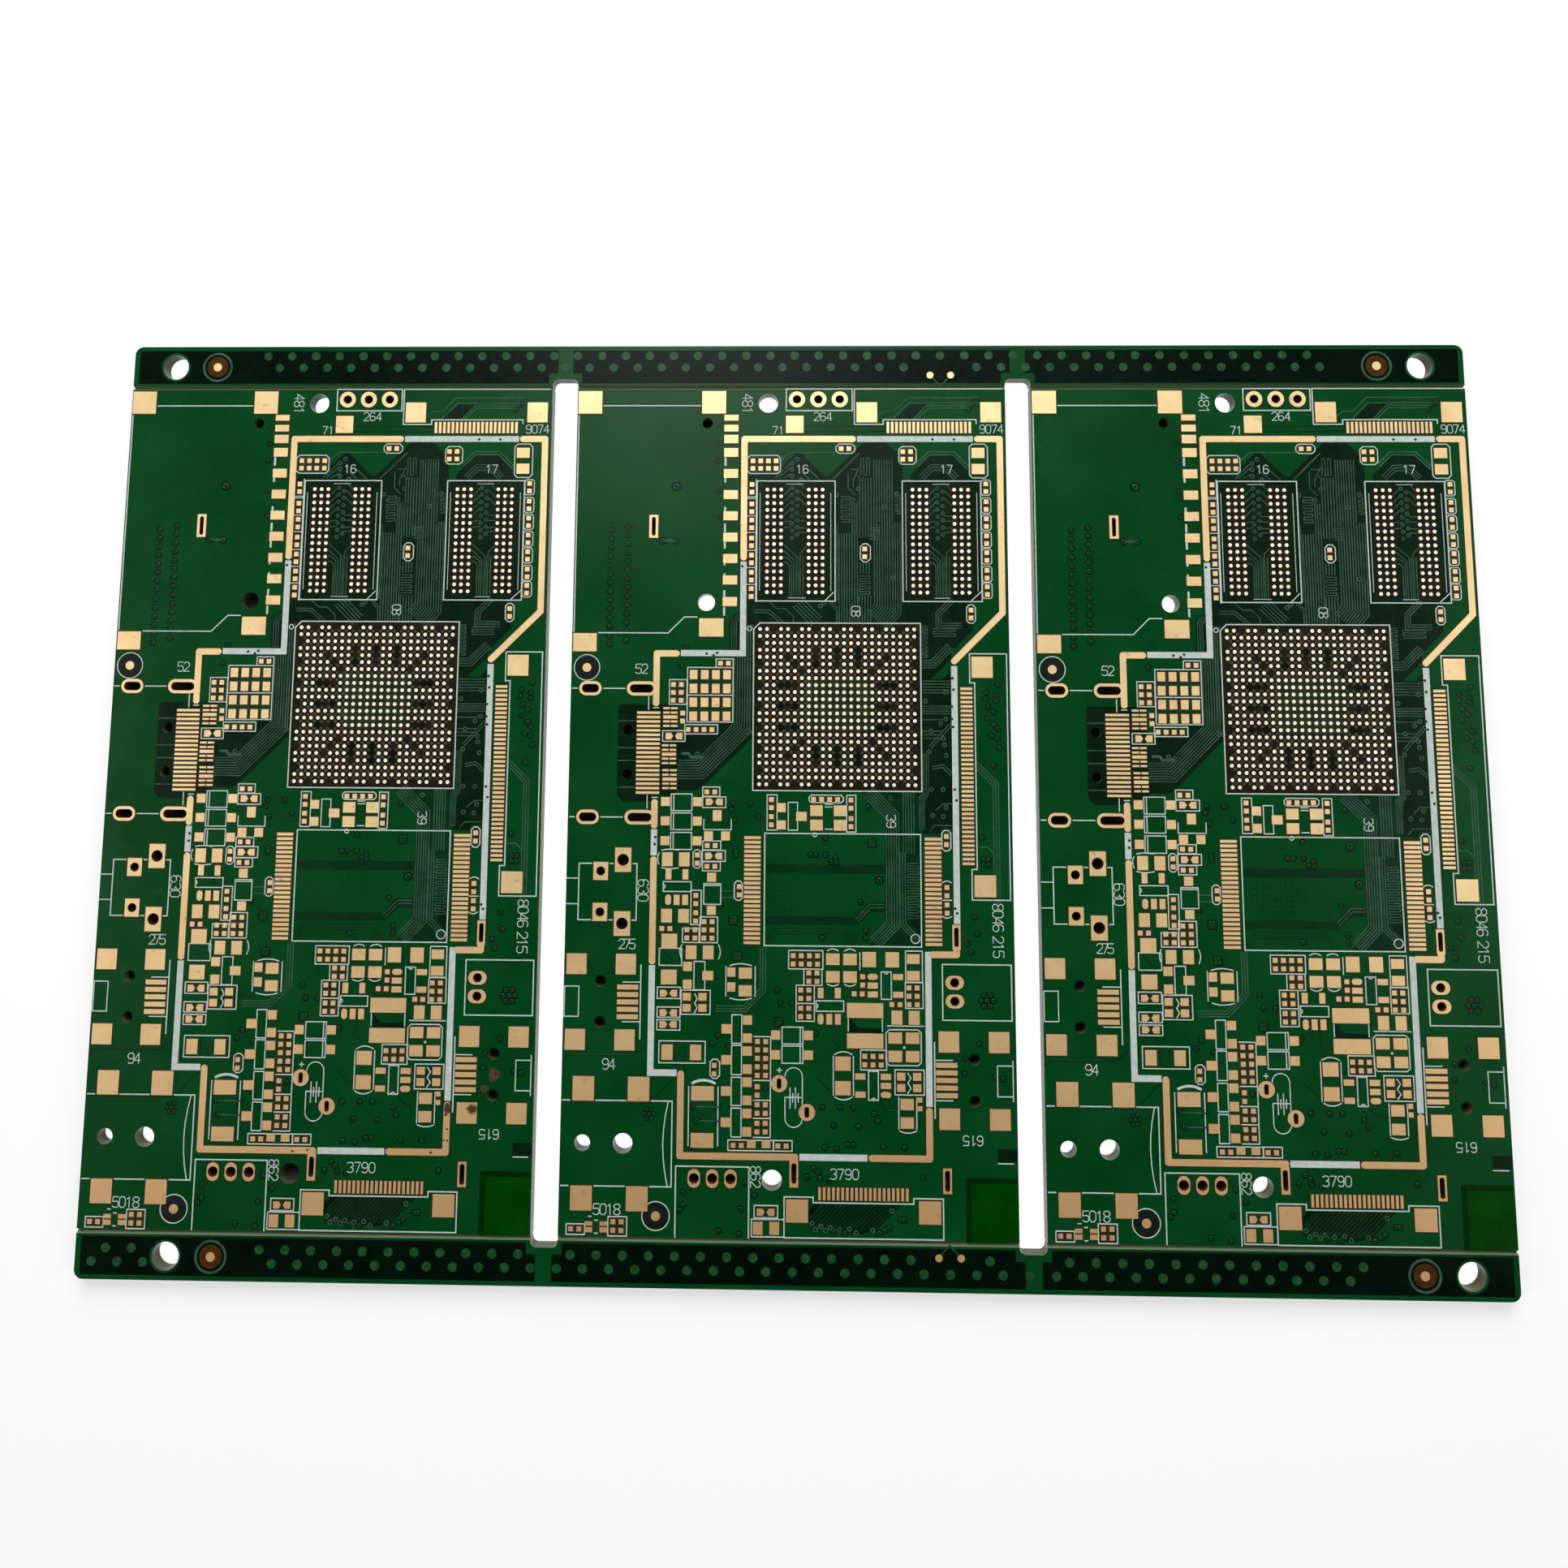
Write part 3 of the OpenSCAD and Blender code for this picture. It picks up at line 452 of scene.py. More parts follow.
@dataclass(frozen=True)
class PanelFinish(Finish):
    """Solder mask on both faces, with bare glass fibre on every cut edge.

    Attributes:
        fibre: Colour of the cut fibre.
        fibre_dark: Colour between the fibre layers.
        layer: Thickness of a fibre layer, in mm.
        frayed: Width of the pale frayed line along the slots, in mm.
        rag: Length of the line's rags, in mm.
        rag_edge: Noise where a rag starts and where it has its full width.
        score: Colour of the scored grooves' walls.
    """

    fibre: Colour = (84, 86, 60)
    fibre_dark: Colour = (52, 56, 38)
    layer: float = 0.18
    frayed: float = 0.1
    rag: float = 0.5
    rag_edge: tuple[float, float] = (0.45, 0.75)
    score: Colour = (92, 104, 80)

    def colours(self, tree: Tree, coords: Node) -> Socket:
        """Choose mask or fibre by the way a face looks.

        Args:
            tree: Node tree of the material.
            coords: Its texture coordinate node.

        Returns:
            The colour socket.
        """
        mask = super().colours(tree, coords)
        wave = tree.nodes.new("ShaderNodeTexWave")
        wave.bands_direction = "Z"
        wave.inputs["Scale"].default_value = BAND_SCALE / (self.layer * MM)
        wave.inputs["Distortion"].default_value = 1.5
        wave.inputs["Detail"].default_value = 3.0
        tree.links.new(coords.outputs["Object"], wave.inputs["Vector"])
        layers = tree.nodes.new("ShaderNodeValToRGB")
        layers.color_ramp.elements[0].color = linear(self.fibre_dark)
        layers.color_ramp.elements[1].color = linear(self.fibre)
        tree.links.new(wave.outputs["Fac"], layers.inputs["Fac"])
        edge = blend(tree, flatness(tree, Slope.SCORED), layers.outputs["Color"], self.score)
        face = blend(tree, self.fray(tree, coords), mask, self.fibre)
        return blend(tree, flatness(tree, Slope.PANEL), edge, face)

    def fray(self, tree: Tree, coords: Node) -> Socket:
        """Find the ragged pale line along the slots and the outer ends.

        Args:
            tree: Node tree of the material.
            coords: Its texture coordinate node.

        Returns:
            A socket that is 1 on the frayed line.
        """
        place = axes(tree, coords.outputs["Object"])
        gap = reckon(tree, "PINGPONG", place["X"], 0.5 * BOARD_PITCH * MM)
        rags = self.noise(tree, coords, self.rag, detail=3.0)
        edge = span(tree, rags, self.rag_edge, (0.5 * BOARD_W * MM, (0.5 * BOARD_W - self.frayed) * MM))
        by_slot = reckon(tree, "GREATER_THAN", gap, edge)
        inner = reckon(tree, "LESS_THAN", reckon(tree, "ABSOLUTE", place["Y"]), 0.5 * BOARD_H * MM)
        return reckon(tree, "MULTIPLY", by_slot, inner)


@dataclass(frozen=True)
class MaskFinish(Finish):
    """Solder mask with a fine grain, as over traces, vias and bare fibre."""

    gloss: tuple[float, float] = (0.22, 0.36)
    grain: float = 0.2
    specular: float = 0.25


@dataclass(frozen=True)
class FibreFinish(Finish):
    """Dull ground in the openings of the mask and in the ball fields."""

    gloss: tuple[float, float] = (0.4, 0.55)
    grain: float = 0.2
    specular: float = 0.1


PLANE_GLOSS = (0.2, 0.3)
PANEL = PanelFinish("mask_panel", (0, 56, 19), (5, 64, 27), drift=9.0, gloss=PLANE_GLOSS, grain=0.6,
                    relief=0.05, specular=0.25)
PATCH = MaskFinish("mask_on_plane", (0, 56, 19), (5, 64, 27), drift=9.0, gloss=PLANE_GLOSS, grain=0.6)
BARE = MaskFinish("mask_on_fibre", (1, 23, 9), (6, 31, 15), drift=2.5, grain=0.4, specular=0.2)
DIM = MaskFinish("mask_on_fibre_dim", (1, 36, 14), (5, 44, 20), drift=3.0, grain=0.4)
THIN = MaskFinish("mask_on_thin_fibre", (0, 48, 1), (0, 58, 3), drift=3.0, grain=0.4, specular=0.15)
# Painted shadow along the left and upper edges of the clear corner.
SHADE = MaskFinish("painted_shadow_by_thin_fibre", (0, 33, 2), (0, 38, 3), drift=1.0, grain=0.4, specular=0.15)
RAIL = Finish("mask_on_rail", (0, 10, 4), (2, 17, 8), drift=4.0, gloss=(0.2, 0.32), grain=0.6, specular=0.15)
DOT = Finish("mask_on_rail_dot", (16, 58, 28), (30, 76, 40), drift=0.6, specular=0.25)
# Mask over copper: partly its own lighter green, partly painted glint that whitens the raised lines, rings
# and via rings.
TRACE = MaskFinish("mask_on_trace_with_glint", (36, 66, 48), (56, 86, 68), drift=1.5)
CUT = MaskFinish("mask_in_gap", (0, 26, 9), (3, 33, 14), drift=2.0)
HATCH = MaskFinish("mask_in_hatch", (1, 18, 6), (3, 25, 9), drift=2.0, specular=0.2)
HATCH_LINE = MaskFinish("mask_on_hatch", (3, 40, 14), (7, 48, 20), drift=1.0, specular=0.2)
PAD = MaskFinish("mask_on_via", (3, 56, 22), (10, 68, 34), drift=1.0)
BROWN = Finish("fibre_in_opening", (30, 23, 12), (44, 32, 17), drift=0.8, gloss=(0.45, 0.6), grain=0.15,
               specular=0.25)
AMBER = FibreFinish("fibre_in_aiming_mark", (70, 40, 2), (56, 29, 0), drift=0.8, grain=0.15)
DARK = FibreFinish("fibre_in_board_mark", (10, 18, 13), (18, 27, 20), drift=0.8, grain=0.15, specular=0.15)
FIELD = FibreFinish("fibre_in_ball_field", (15, 16, 7), (32, 26, 14), drift=0.9)
CLEAR = FibreFinish("fibre_in_channel", (1, 7, 3), (4, 12, 6), drift=0.6)
TIN = Finish("mask_on_field_via", (60, 56, 40), (76, 68, 48), drift=0.6, gloss=(0.35, 0.5), grain=0.1,
             specular=0.25)
OLIVE = FibreFinish("mask_on_tinned_plane", (26, 36, 18), (38, 46, 26), drift=1.6)
INK = Finish("white_ink", (168, 177, 172), (182, 190, 185), drift=0.6, gloss=(0.55, 0.7), grain=0.08,
             relief=0.12, specular=0.2)
SPOT = Finish("dark_hole", (6, 14, 10), (14, 26, 18), drift=0.3, gloss=(0.5, 0.7), grain=0.1)
STAIN = Finish("flux_stain", (84, 60, 42), (54, 40, 28), drift=0.5, gloss=(0.3, 0.5), grain=0.1)
GOLD = GoldFinish("gold_plate", (255, 226, 168), (246, 210, 152), drift=3.0, gloss=(0.36, 0.48), grain=0.12,
                  relief=0.1, metallic=0.55, specular=0.5)
BURNT = replace(GOLD, name="gold_plate_burnt", blots=(
    (-34.75, -34.15, 1.3), (-37.5, -34.1, 1.1), (-37.7, -34.75, 0.4), (-37.5, -36.3, 0.3),
    (-37.8, -37.5, 0.26), (-37.4, -37.5, 0.26), (-39.2, -38.8, 0.36), (-54.5, -38.85, 0.34),
    (-52.9, -38.7, 0.3),
))
BALLS = GoldFinish("gold_balls", (246, 240, 220), (236, 226, 200), drift=2.0, gloss=(0.4, 0.5), grain=0.12,
                   relief=0.1, metallic=0.2, specular=0.5, dull=0.1)


# Thin layers


def raise_circle(sides: int, taper: float) -> Piece:
    """Model a prism one across and one high, and leave its top selected in edit mode.

    Args:
        sides: Number of sides.
        taper: Width of the top against the foot.

    Returns:
        The prism.
    """
    clear_selection()
    bpy.ops.mesh.primitive_circle_add(vertices=sides, radius=0.5, fill_type="NGON")
    piece = bpy.context.object
    bpy.ops.object.mode_set(mode="EDIT")
    bpy.ops.mesh.select_all(action="SELECT")
    lift(1.0)
    bpy.ops.transform.resize(value=(taper, taper, 1.0))
    return piece


@dataclass(frozen=True)
class Unit:
    """A small shape modelled once, one across and one high, to be copied.

    Attributes:
        points: Its vertices.
        faces: Its faces, as vertex numbers.
    """

    points: np.ndarray
    faces: tuple[tuple[int, ...], ...]

    @classmethod
    def take(cls, piece: Piece) -> "Unit":
        """Keep the mesh of a modelled object and remove the object.

        Args:
            piece: The modelled object.

        Returns:
            The unit shape.
        """
        points = np.array([vertex.co[:] for vertex in piece.data.vertices])
        faces = tuple(tuple(face.vertices) for face in piece.data.polygons)
        mesh = piece.data
        bpy.data.objects.remove(piece)
        bpy.data.meshes.remove(mesh)
        return cls(points, faces)

    @classmethod
    def prism(cls, sides: int, taper: float) -> "Unit":
        """Model a low round prism with sloping walls.

        Args:
            sides: Number of sides.
            taper: Width of the top against the foot.

        Returns:
            The unit shape.
        """
        piece = raise_circle(sides, taper)
        face_outwards()
        piece.data.transform(Matrix.Rotation(math.pi / sides, 4, "Z"))
        return cls.take(piece)

    @classmethod
    def crater(cls, sides: int, mouth: float) -> "Unit":
        """Model a round bump with a hollow in its top, as a filled via has.

        Args:
            sides: Number of sides.
            mouth: Width of the hollow against the whole.

        Returns:
            The unit shape.
        """
        shoulder, depth, narrowing = 0.84, 0.7, 0.6
        piece = raise_circle(sides, shoulder)
        bpy.ops.mesh.inset(thickness=0.5 * (shoulder - mouth))
        lift(-depth)
        bpy.ops.transform.resize(value=(narrowing, narrowing, 1.0))
        face_outwards()
        return cls.take(piece)


Units = tuple[Unit, Unit, Unit]


def model_units(disc_sides: int, disc_taper: float) -> Units:
    """Model the shapes that a sheet copies.

    Args:
        disc_sides: Number of sides of a disc.
        disc_taper: Width of its top against its foot.

    Returns:
        Stroke, disc and crater shapes.
    """
    stroke_sides, stroke_taper = 8, 0.74
    crater_sides, crater_mouth = 10, 0.42
    return (Unit.prism(stroke_sides, stroke_taper), Unit.prism(disc_sides, disc_taper),
            Unit.crater(crater_sides, crater_mouth))


# A stroke's foot against the width of its line
STROKE_FOOT = 1.06
# Sides of a ring that is wider than so many mm
RING_SIDES = ((2.0, 48), (0.4, 14), (0.0, 8))
# Degrees of a step on an arc with a radius of 1 mm, and the least radius that this counts for
ARC_STEP, ARC_RADIUS = 14.0, 0.4
BOW_POINTS = 7
# Least divisor of a mitre, which keeps sharp corners short
MITRE_LEAST = 0.35


@dataclass
class Sheet:
    """Copies of unit shapes on one board, gathered into one thin piece.

    Attributes:
        name: Name of the piece, without the board.
        top: Layer that its top lies in.
        finish: Its surface.
        slot: Name of the material slot meant for it, or an empty text; not used.
        stroke_unit: Shape that a stroke is drawn with.
        disc_unit: Shape of a disc.
        crater_unit: Shape of a via.
        points: Vertices of the copies.
        faces: Faces of the copies.
        total: Number of vertices.
    """

    name: str
    top: Level
    finish: Finish
    slot: str
    stroke_unit: Unit
    disc_unit: Unit
    crater_unit: Unit
    points: list[np.ndarray] = field(default_factory=list)
    faces: list[tuple[int, ...]] = field(default_factory=list)
    total: int = 0

    def copy_in(self, points: np.ndarray, faces: tuple[tuple[int, ...], ...]) -> None:
        """Add a copy of a shape.

        Args:
            points: Its placed vertices, in mm.
            faces: Its faces.
        """
        self.points.append(points)
        self.faces.extend(tuple(number + self.total for number in face) for face in faces)
        self.total += len(points)

    def height(self, share: np.ndarray) -> np.ndarray:
        """Turn unit heights into mm, with neighbours a hair apart where they cross.

        Args:
            share: Heights from 0 to 1.

        Returns:
            Heights over the underside.
        """
        top = self.top.value - COPY_HAIR * (len(self.points) % COPY_HAIRS)
        return FOOT + share * (top - FOOT)

    def stroke(self, start: Point, end: Point, width: float) -> None:
        """Draw a round-ended line.

        Args:
            start: One end, in board mm.
            end: Other end.
            width: Width of the line.
        """
        along = np.array(end, float) - np.array(start, float)
        length = float(np.hypot(*along))
        way = along / length if length > 0.0 else np.array([1.0, 0.0])
        flat = self.stroke_unit.points[:, :2] * width * STROKE_FOOT
        flat[self.stroke_unit.points[:, 0] > 0.0, 0] += length
        placed = np.empty((len(flat), 3))
        placed[:, 0] = start[0] + flat[:, 0] * way[0] - flat[:, 1] * way[1]
        placed[:, 1] = start[1] + flat[:, 0] * way[1] + flat[:, 1] * way[0]
        placed[:, 2] = self.height(self.stroke_unit.points[:, 2])
        self.copy_in(placed, self.stroke_unit.faces)

    def path(self, points: Path, width: float) -> None:
        """Draw a line through points.

        Args:
            points: The points, in board mm.
            width: Width of the line.
        """
        for start, end in zip(points[:-1], points[1:]):
            self.stroke(start, end, width)

    def round(self, unit: Unit, centre: Point, across: float) -> None:
        """Set a round shape.

        Args:
            unit: The shape.
            centre: Its centre, in board mm.
            across: Its width.
        """
        placed = np.empty_like(unit.points)
        placed[:, 0] = centre[0] + unit.points[:, 0] * across
        placed[:, 1] = centre[1] + unit.points[:, 1] * across
        placed[:, 2] = self.height(unit.points[:, 2])
        self.copy_in(placed, unit.faces)

    def disc(self, centre: Point, across: float) -> None:
        """Set a disc of the given width."""
        self.round(self.disc_unit, centre, across)

    def via(self, centre: Point, across: float) -> None:
        """Set a via of the given width."""
        self.round(self.crater_unit, centre, across)

    def ring(self, centre: Point, across: float, width: float) -> None:
        """Lay a flat ring.

        Args:
            centre: Its centre, in board mm.
            across: Width across the middle of the band.
            width: Width of the band.
        """
        sides = next(count for least, count in RING_SIDES if across > least)
        angles = np.linspace(0.0, 2.0 * math.pi, sides, endpoint=False)
        outline = np.stack([np.cos(angles), np.sin(angles)], axis=1) * 0.5 * across + np.array(centre)
        self.ring_round(outline, 0.5 * width, 0.5 * width)

    def arc(self, centre: Point, radius: float, start: float, end: float, width: float) -> None:
        """Draw part of a circle.

        Args:
            centre: Its centre, in board mm.
            radius: Its radius.
            start: First angle, in degrees.
            end: Last angle.
            width: Width of the line.
        """
        steps = max(4, int(abs(end - start) * max(radius, ARC_RADIUS) / ARC_STEP))
        angles = np.radians(np.linspace(start, end, steps + 1))
        self.path(tuple((centre[0] + radius * math.cos(a), centre[1] + radius * math.sin(a))
                        for a in angles), width)

    def bow(self, start: Point, end: Point, rise: float, width: float) -> None:
        """Draw a shallow bow between two points.

        Args:
            start: One end.
            end: Other end.
            rise: Height of the bow to the left of its way.
            width: Width of the line.
        """
        first, last = np.array(start), np.array(end)
        along = last - first
        side = np.array([-along[1], along[0]]) / np.hypot(*along)
        shares = np.linspace(0.0, 1.0, BOW_POINTS)
        self.path(tuple(tuple(first + along * s + side * rise * 4.0 * s * (1.0 - s)) for s in shares), width)

    def box(self, low: Point, high: Point, width: float, corner: float = 0.0) -> None:
        """Draw a box outline with cut or square corners.

        Args:
            low: Lower left corner.
            high: Upper right corner.
            width: Width of the line.
            corner: Length that a corner is cut by.
        """
        c = corner
        if c > 0.0:
            ring = ((low[0] + c, low[1]), (high[0] - c, low[1]), (high[0], low[1] + c),
                    (high[0], high[1] - c), (high[0] - c, high[1]), (low[0] + c, high[1]),
                    (low[0], high[1] - c), (low[0], low[1] + c), (low[0] + c, low[1]))
        else:
            ring = (low, (high[0], low[1]), high, (low[0], high[1]), low)
        self.path(ring, width)

    def ring_round(self, outline: np.ndarray, inner: float, outer: float) -> None:
        """Lay a band along a closed outline.

        Args:
            outline: Corner points in order, anticlockwise, in board mm.
            inner: How far the band reaches inwards.
            outer: How far it reaches outwards.
        """
        before = outline - np.roll(outline, 1, axis=0)
        after = np.roll(outline, -1, axis=0) - outline
        before /= np.linalg.norm(before, axis=1)[:, None]
        after /= np.linalg.norm(after, axis=1)[:, None]
        side_a = np.stack([before[:, 1], -before[:, 0]], axis=1)
        side_b = np.stack([after[:, 1], -after[:, 0]], axis=1)
        mitre = (side_a + side_b) / np.maximum(MITRE_LEAST, 1.0 + np.sum(side_a * side_b, axis=1))[:, None]
        count = len(outline)
        rows = []
        for reach, share in ((-inner, 0.0), (outer, 0.0), (outer, 1.0), (-inner, 1.0)):
            row = np.empty((count, 3))
            row[:, :2] = outline + mitre * reach
            row[:, 2] = self.height(np.full(count, share))
            rows.append(row)
        faces = []
        for band in range(4):
            for k in range(count):
                n = (k + 1) % count
                low, high = band * count, ((band + 1) % 4) * count
                faces.append((low + k, low + n, high + n, high + k))
        self.copy_in(np.concatenate(rows), tuple(faces))

    def finish_at(self, name: str, origin: Point, material: Material) -> Piece:
        """Make the piece, with a mesh of its own.

        Args:
            name: Full name of the piece.
            origin: Place that its points count from, in panel mm.
            material: The material made from the finish.

        Returns:
            The finished piece.
        """
        points = np.concatenate(self.points) + np.array([origin[0], origin[1], 0.0])
        mesh = bpy.data.meshes.new(name)
        mesh.from_pydata((points * MM).tolist(), [], self.faces)
        mesh.materials.append(material)
        piece = bpy.data.objects.new(name, mesh)
        bpy.context.scene.collection.objects.link(piece)
        ride(piece)
        return piece


def ride(piece: Piece) -> None:
    """Let a piece move with the panel.

    Args:
        piece: The finished piece.
    """
    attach(piece, "root")


def carve(piece: Piece, tool: Piece) -> None:
    """Cut one object out of another and remove it.

    Args:
        piece: The object that is cut.
        tool: The object that cuts.
    """
    clear_selection()
    piece.select_set(True)
    bpy.context.view_layer.objects.active = piece
    change = piece.modifiers.new("opening", "BOOLEAN")
    change.operation = "DIFFERENCE"
    change.object = tool
    bpy.ops.object.modifier_apply(modifier=change.name)
    mesh = tool.data
    bpy.data.objects.remove(tool)
    bpy.data.meshes.remove(mesh)


@dataclass
class SlotEnds:
    """The flat ends of the routed slots, cut in a copy of the panel.

    Attributes:
        width: Width of a cut, a hair less than the slot's, in mm.
        end: Distance from the panel's middle to a slot's end.
        back: How far a cut reaches back into the slot.
        over: How much higher it is than the panel.
        corner: Radius of the end's corners.
        steps: Faces of a corner.
        merge: Distance within which vertices of the copy are merged.
    """

    width: float = SLOT_W - 0.02
    end: float = 48.505
    back: float = 2.5
    over: float = 1.0
    corner: float = 0.62
    steps: int = 6
    merge: float = 0.0002

    def tool(self, middle: float, side: float) -> Piece:
        """Model the block that cuts one end.

        Args:
            middle: Middle of the slot, in panel mm.
            side: 1 for the upper end, -1 for the lower one.

        Returns:
            The block, with two round corners.
        """
        clear_selection()
        bpy.ops.mesh.primitive_cube_add(size=1.0)
        tool = bpy.context.object
        for vertex in tool.data.vertices:
            x, y, z = vertex.co
            vertex.co = ((middle + x * self.width) * MM, side * (self.end + (y - 0.5) * self.back) * MM,
                         (0.5 * FACE + z * (FACE + self.over)) * MM)
        bpy.ops.object.mode_set(mode="EDIT")
        bpy.ops.mesh.select_mode(type="EDGE")
        bpy.ops.mesh.select_all(action="SELECT")
        bpy.ops.mesh.normals_make_consistent(inside=False)
        bpy.ops.mesh.select_all(action="DESELECT")
        bpy.ops.object.mode_set(mode="OBJECT")
        for edge in tool.data.edges:
            first, last = (tool.data.vertices[number].co for number in edge.vertices)
            edge.select = abs(first.z - last.z) > MM and abs(first.y) > (self.end - 0.1) * MM
        bpy.ops.object.mode_set(mode="EDIT")
        bpy.ops.mesh.bevel(offset=self.corner * MM, segments=self.steps, affect="EDGES")
        bpy.ops.mesh.select_mode(type="VERT")
        bpy.ops.object.mode_set(mode="OBJECT")
        return tool

    def build(self) -> Piece:
        """Cut the ends in a copy that stands for the panel.

        Returns:
            The finished piece.
        """
        clear_selection()
        piece = bpy.data.objects.new("routed_panel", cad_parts["laminate_panel"].data.copy())
        bpy.context.scene.collection.objects.link(piece)
        piece.select_set(True)
        bpy.context.view_layer.objects.active = piece
        bpy.ops.object.mode_set(mode="EDIT")
        bpy.ops.mesh.select_all(action="SELECT")
        bpy.ops.mesh.remove_doubles(threshold=self.merge * MM)
        bpy.ops.object.mode_set(mode="OBJECT")
        for middle in (-0.5 * BOARD_PITCH, 0.5 * BOARD_PITCH):
            for side in (-1.0, 1.0):
                carve(piece, self.tool(middle, side))
        ride(piece)
        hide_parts("laminate_panel")
        return piece


@dataclass(frozen=True)
class Zone:
    """A flat area with a straight-sided outline.

    Attributes:
        outline: Its corners, in board mm.
    """

    outline: Path

    def holds(self, place: Point) -> bool:
        """Tell whether a place lies inside the outline.

        Args:
            place: The place, in board mm.

        Returns:
            True inside.
        """
        inside = False
        for (x0, y0), (x1, y1) in zip(self.outline, self.outline[1:] + self.outline[:1]):
            if (y0 > place[1]) != (y1 > place[1]):
                inside ^= place[0] < x0 + (x1 - x0) * (place[1] - y0) / (y1 - y0)
        return inside

    def model(self, top: float, origin: Point) -> Piece:
        """Model the zone as a thin closed plate.

        Args:
            top: Height of its top over the underside, in mm.
            origin: Place of the board's lower left corner, in panel mm.

        Returns:
            The plate.
        """
        clear_selection()
        bpy.ops.mesh.primitive_circle_add(vertices=len(self.outline), radius=1.0, fill_type="NGON")
        piece = bpy.context.object
        for vertex, (x, y) in zip(piece.data.vertices, self.outline):
            vertex.co = ((origin[0] + x) * MM, (origin[1] + y) * MM, FOOT * MM)
        bpy.ops.object.mode_set(mode="EDIT")
        bpy.ops.mesh.select_all(action="SELECT")
        lift((top - FOOT) * MM)
        face_outwards()
        return piece


Zones = tuple[Zone, ...]


@dataclass
class ZonePiece:
    """Zones of one kind on a board, as one piece.

    Attributes:
        name: Name of the piece, without the board.
        top: Layer that its top lies in.
        finish: Its surface.
        slot: Name of the material slot meant for it, or an empty text; not used.
        zones: The zones.
    """

    name: str
    top: Level
    finish: Finish
    slot: str
    zones: Zones

    def finish_at(self, name: str, origin: Point, material: Material) -> Piece:
        """Model the zones and join them.

        Args:
            name: Full name of the piece.
            origin: Place of the lower left corner that the zones count from, in panel mm.
            material: The material made from the finish.

        Returns:
            The finished piece.
        """
        plates = [zone.model(self.top.value - ZONE_HAIR * k, origin) for k, zone in enumerate(self.zones)]
        clear_selection()
        for plate in plates:
            plate.select_set(True)
        bpy.context.view_layer.objects.active = plates[0]
        if len(plates) > 1:
            bpy.ops.object.join()
        piece = bpy.context.object
        piece.name = name
        piece.data.name = name
        piece.data.materials.clear()
        piece.data.materials.append(material)
        ride(piece)
        return piece


@dataclass(frozen=True)
class Bus:
    """Lines that run side by side.

    Attributes:
        spine: Middle of the bundle, in board mm.
        count: Number of lines.
        pitch: Distance from line to line.
        width: Width of a line.
    """

    spine: Path
    count: int = 1
    pitch: float = 0.3
    width: float = 0.13

    def lines(self) -> list[Path]:
        """Find the single lines.

        Returns:
            One path a line.
        """
        spine = np.array(self.spine, float)
        ways = np.diff(spine, axis=0)
        ways /= np.linalg.norm(ways, axis=1)[:, None]
        sides = np.stack([-ways[:, 1], ways[:, 0]], axis=1)
        first = np.concatenate([sides[:1], sides])
        last = np.concatenate([sides, sides[-1:]])
        mitre = (first + last) / (1.0 + np.sum(first * last, axis=1))[:, None]
        paths = []
        for k in range(self.count):
            moved = spine + mitre * (k - 0.5 * (self.count - 1)) * self.pitch
            paths.append(tuple((float(x), float(y)) for x, y in moved))
        return paths


@dataclass(frozen=True)
class Meander:
    """A line that runs to and fro to gain length.

    Attributes:
        start: First corner, in board mm.
        reach: Length of a run, along x, or along y where upright is set.
        pitch: Distance from run to run.
        runs: Number of runs.
        upright: Whether the runs are along y.
        width: Width of the line.
    """

    start: Point
    reach: float
    pitch: float
    runs: int
    upright: bool = False
    width: float = 0.12

    def line(self) -> Path:
        """Find the line.

        Returns:
            The path.
        """
        path = []
        for k in range(self.runs):
            ends = (0.0, self.reach) if k % 2 == 0 else (self.reach, 0.0)
            for along in ends:
                across = k * self.pitch
                step = (across, along) if self.upright else (along, across)
                path.append((self.start[0] + step[0], self.start[1] + step[1]))
        return tuple(path)


def rect(x0: float, y0: float, x1: float, y1: float) -> Path:
    """Give the corners of a rectangle, anticlockwise."""
    return ((x0, y0), (x1, y0), (x1, y1), (x0, y1))


# Corners of a ragged outline, and the heights and counts of the two waves along it
BLOT_CORNERS = 18
BLOT_WAVES = ((0.14, 3.0), (0.1, 7.0))


def blot(centre: Point, half_w: float, half_h: float) -> Path:
    """Give a ragged round outline.

    Args:
        centre: Its middle, in board mm.
        half_w: Half its width.
        half_h: Half its height.

    Returns:
        The corners, anticlockwise.
    """
    corners = []
    for k in range(BLOT_CORNERS):
        angle = math.tau * k / BLOT_CORNERS
        waves = zip(BLOT_WAVES, centre)
        reach = 1.0 + sum(high * math.sin(count * angle + start) for (high, count), start in waves)
        x, y = half_w * reach * math.cos(angle), half_h * reach * math.sin(angle)
        corners.append((centre[0] + x, centre[1] + y))
    return tuple(corners)


# The middle of the processor's field
TINNED_MIDDLE = Zone(rect(26.8, 54.9, 34.2, 61.1))


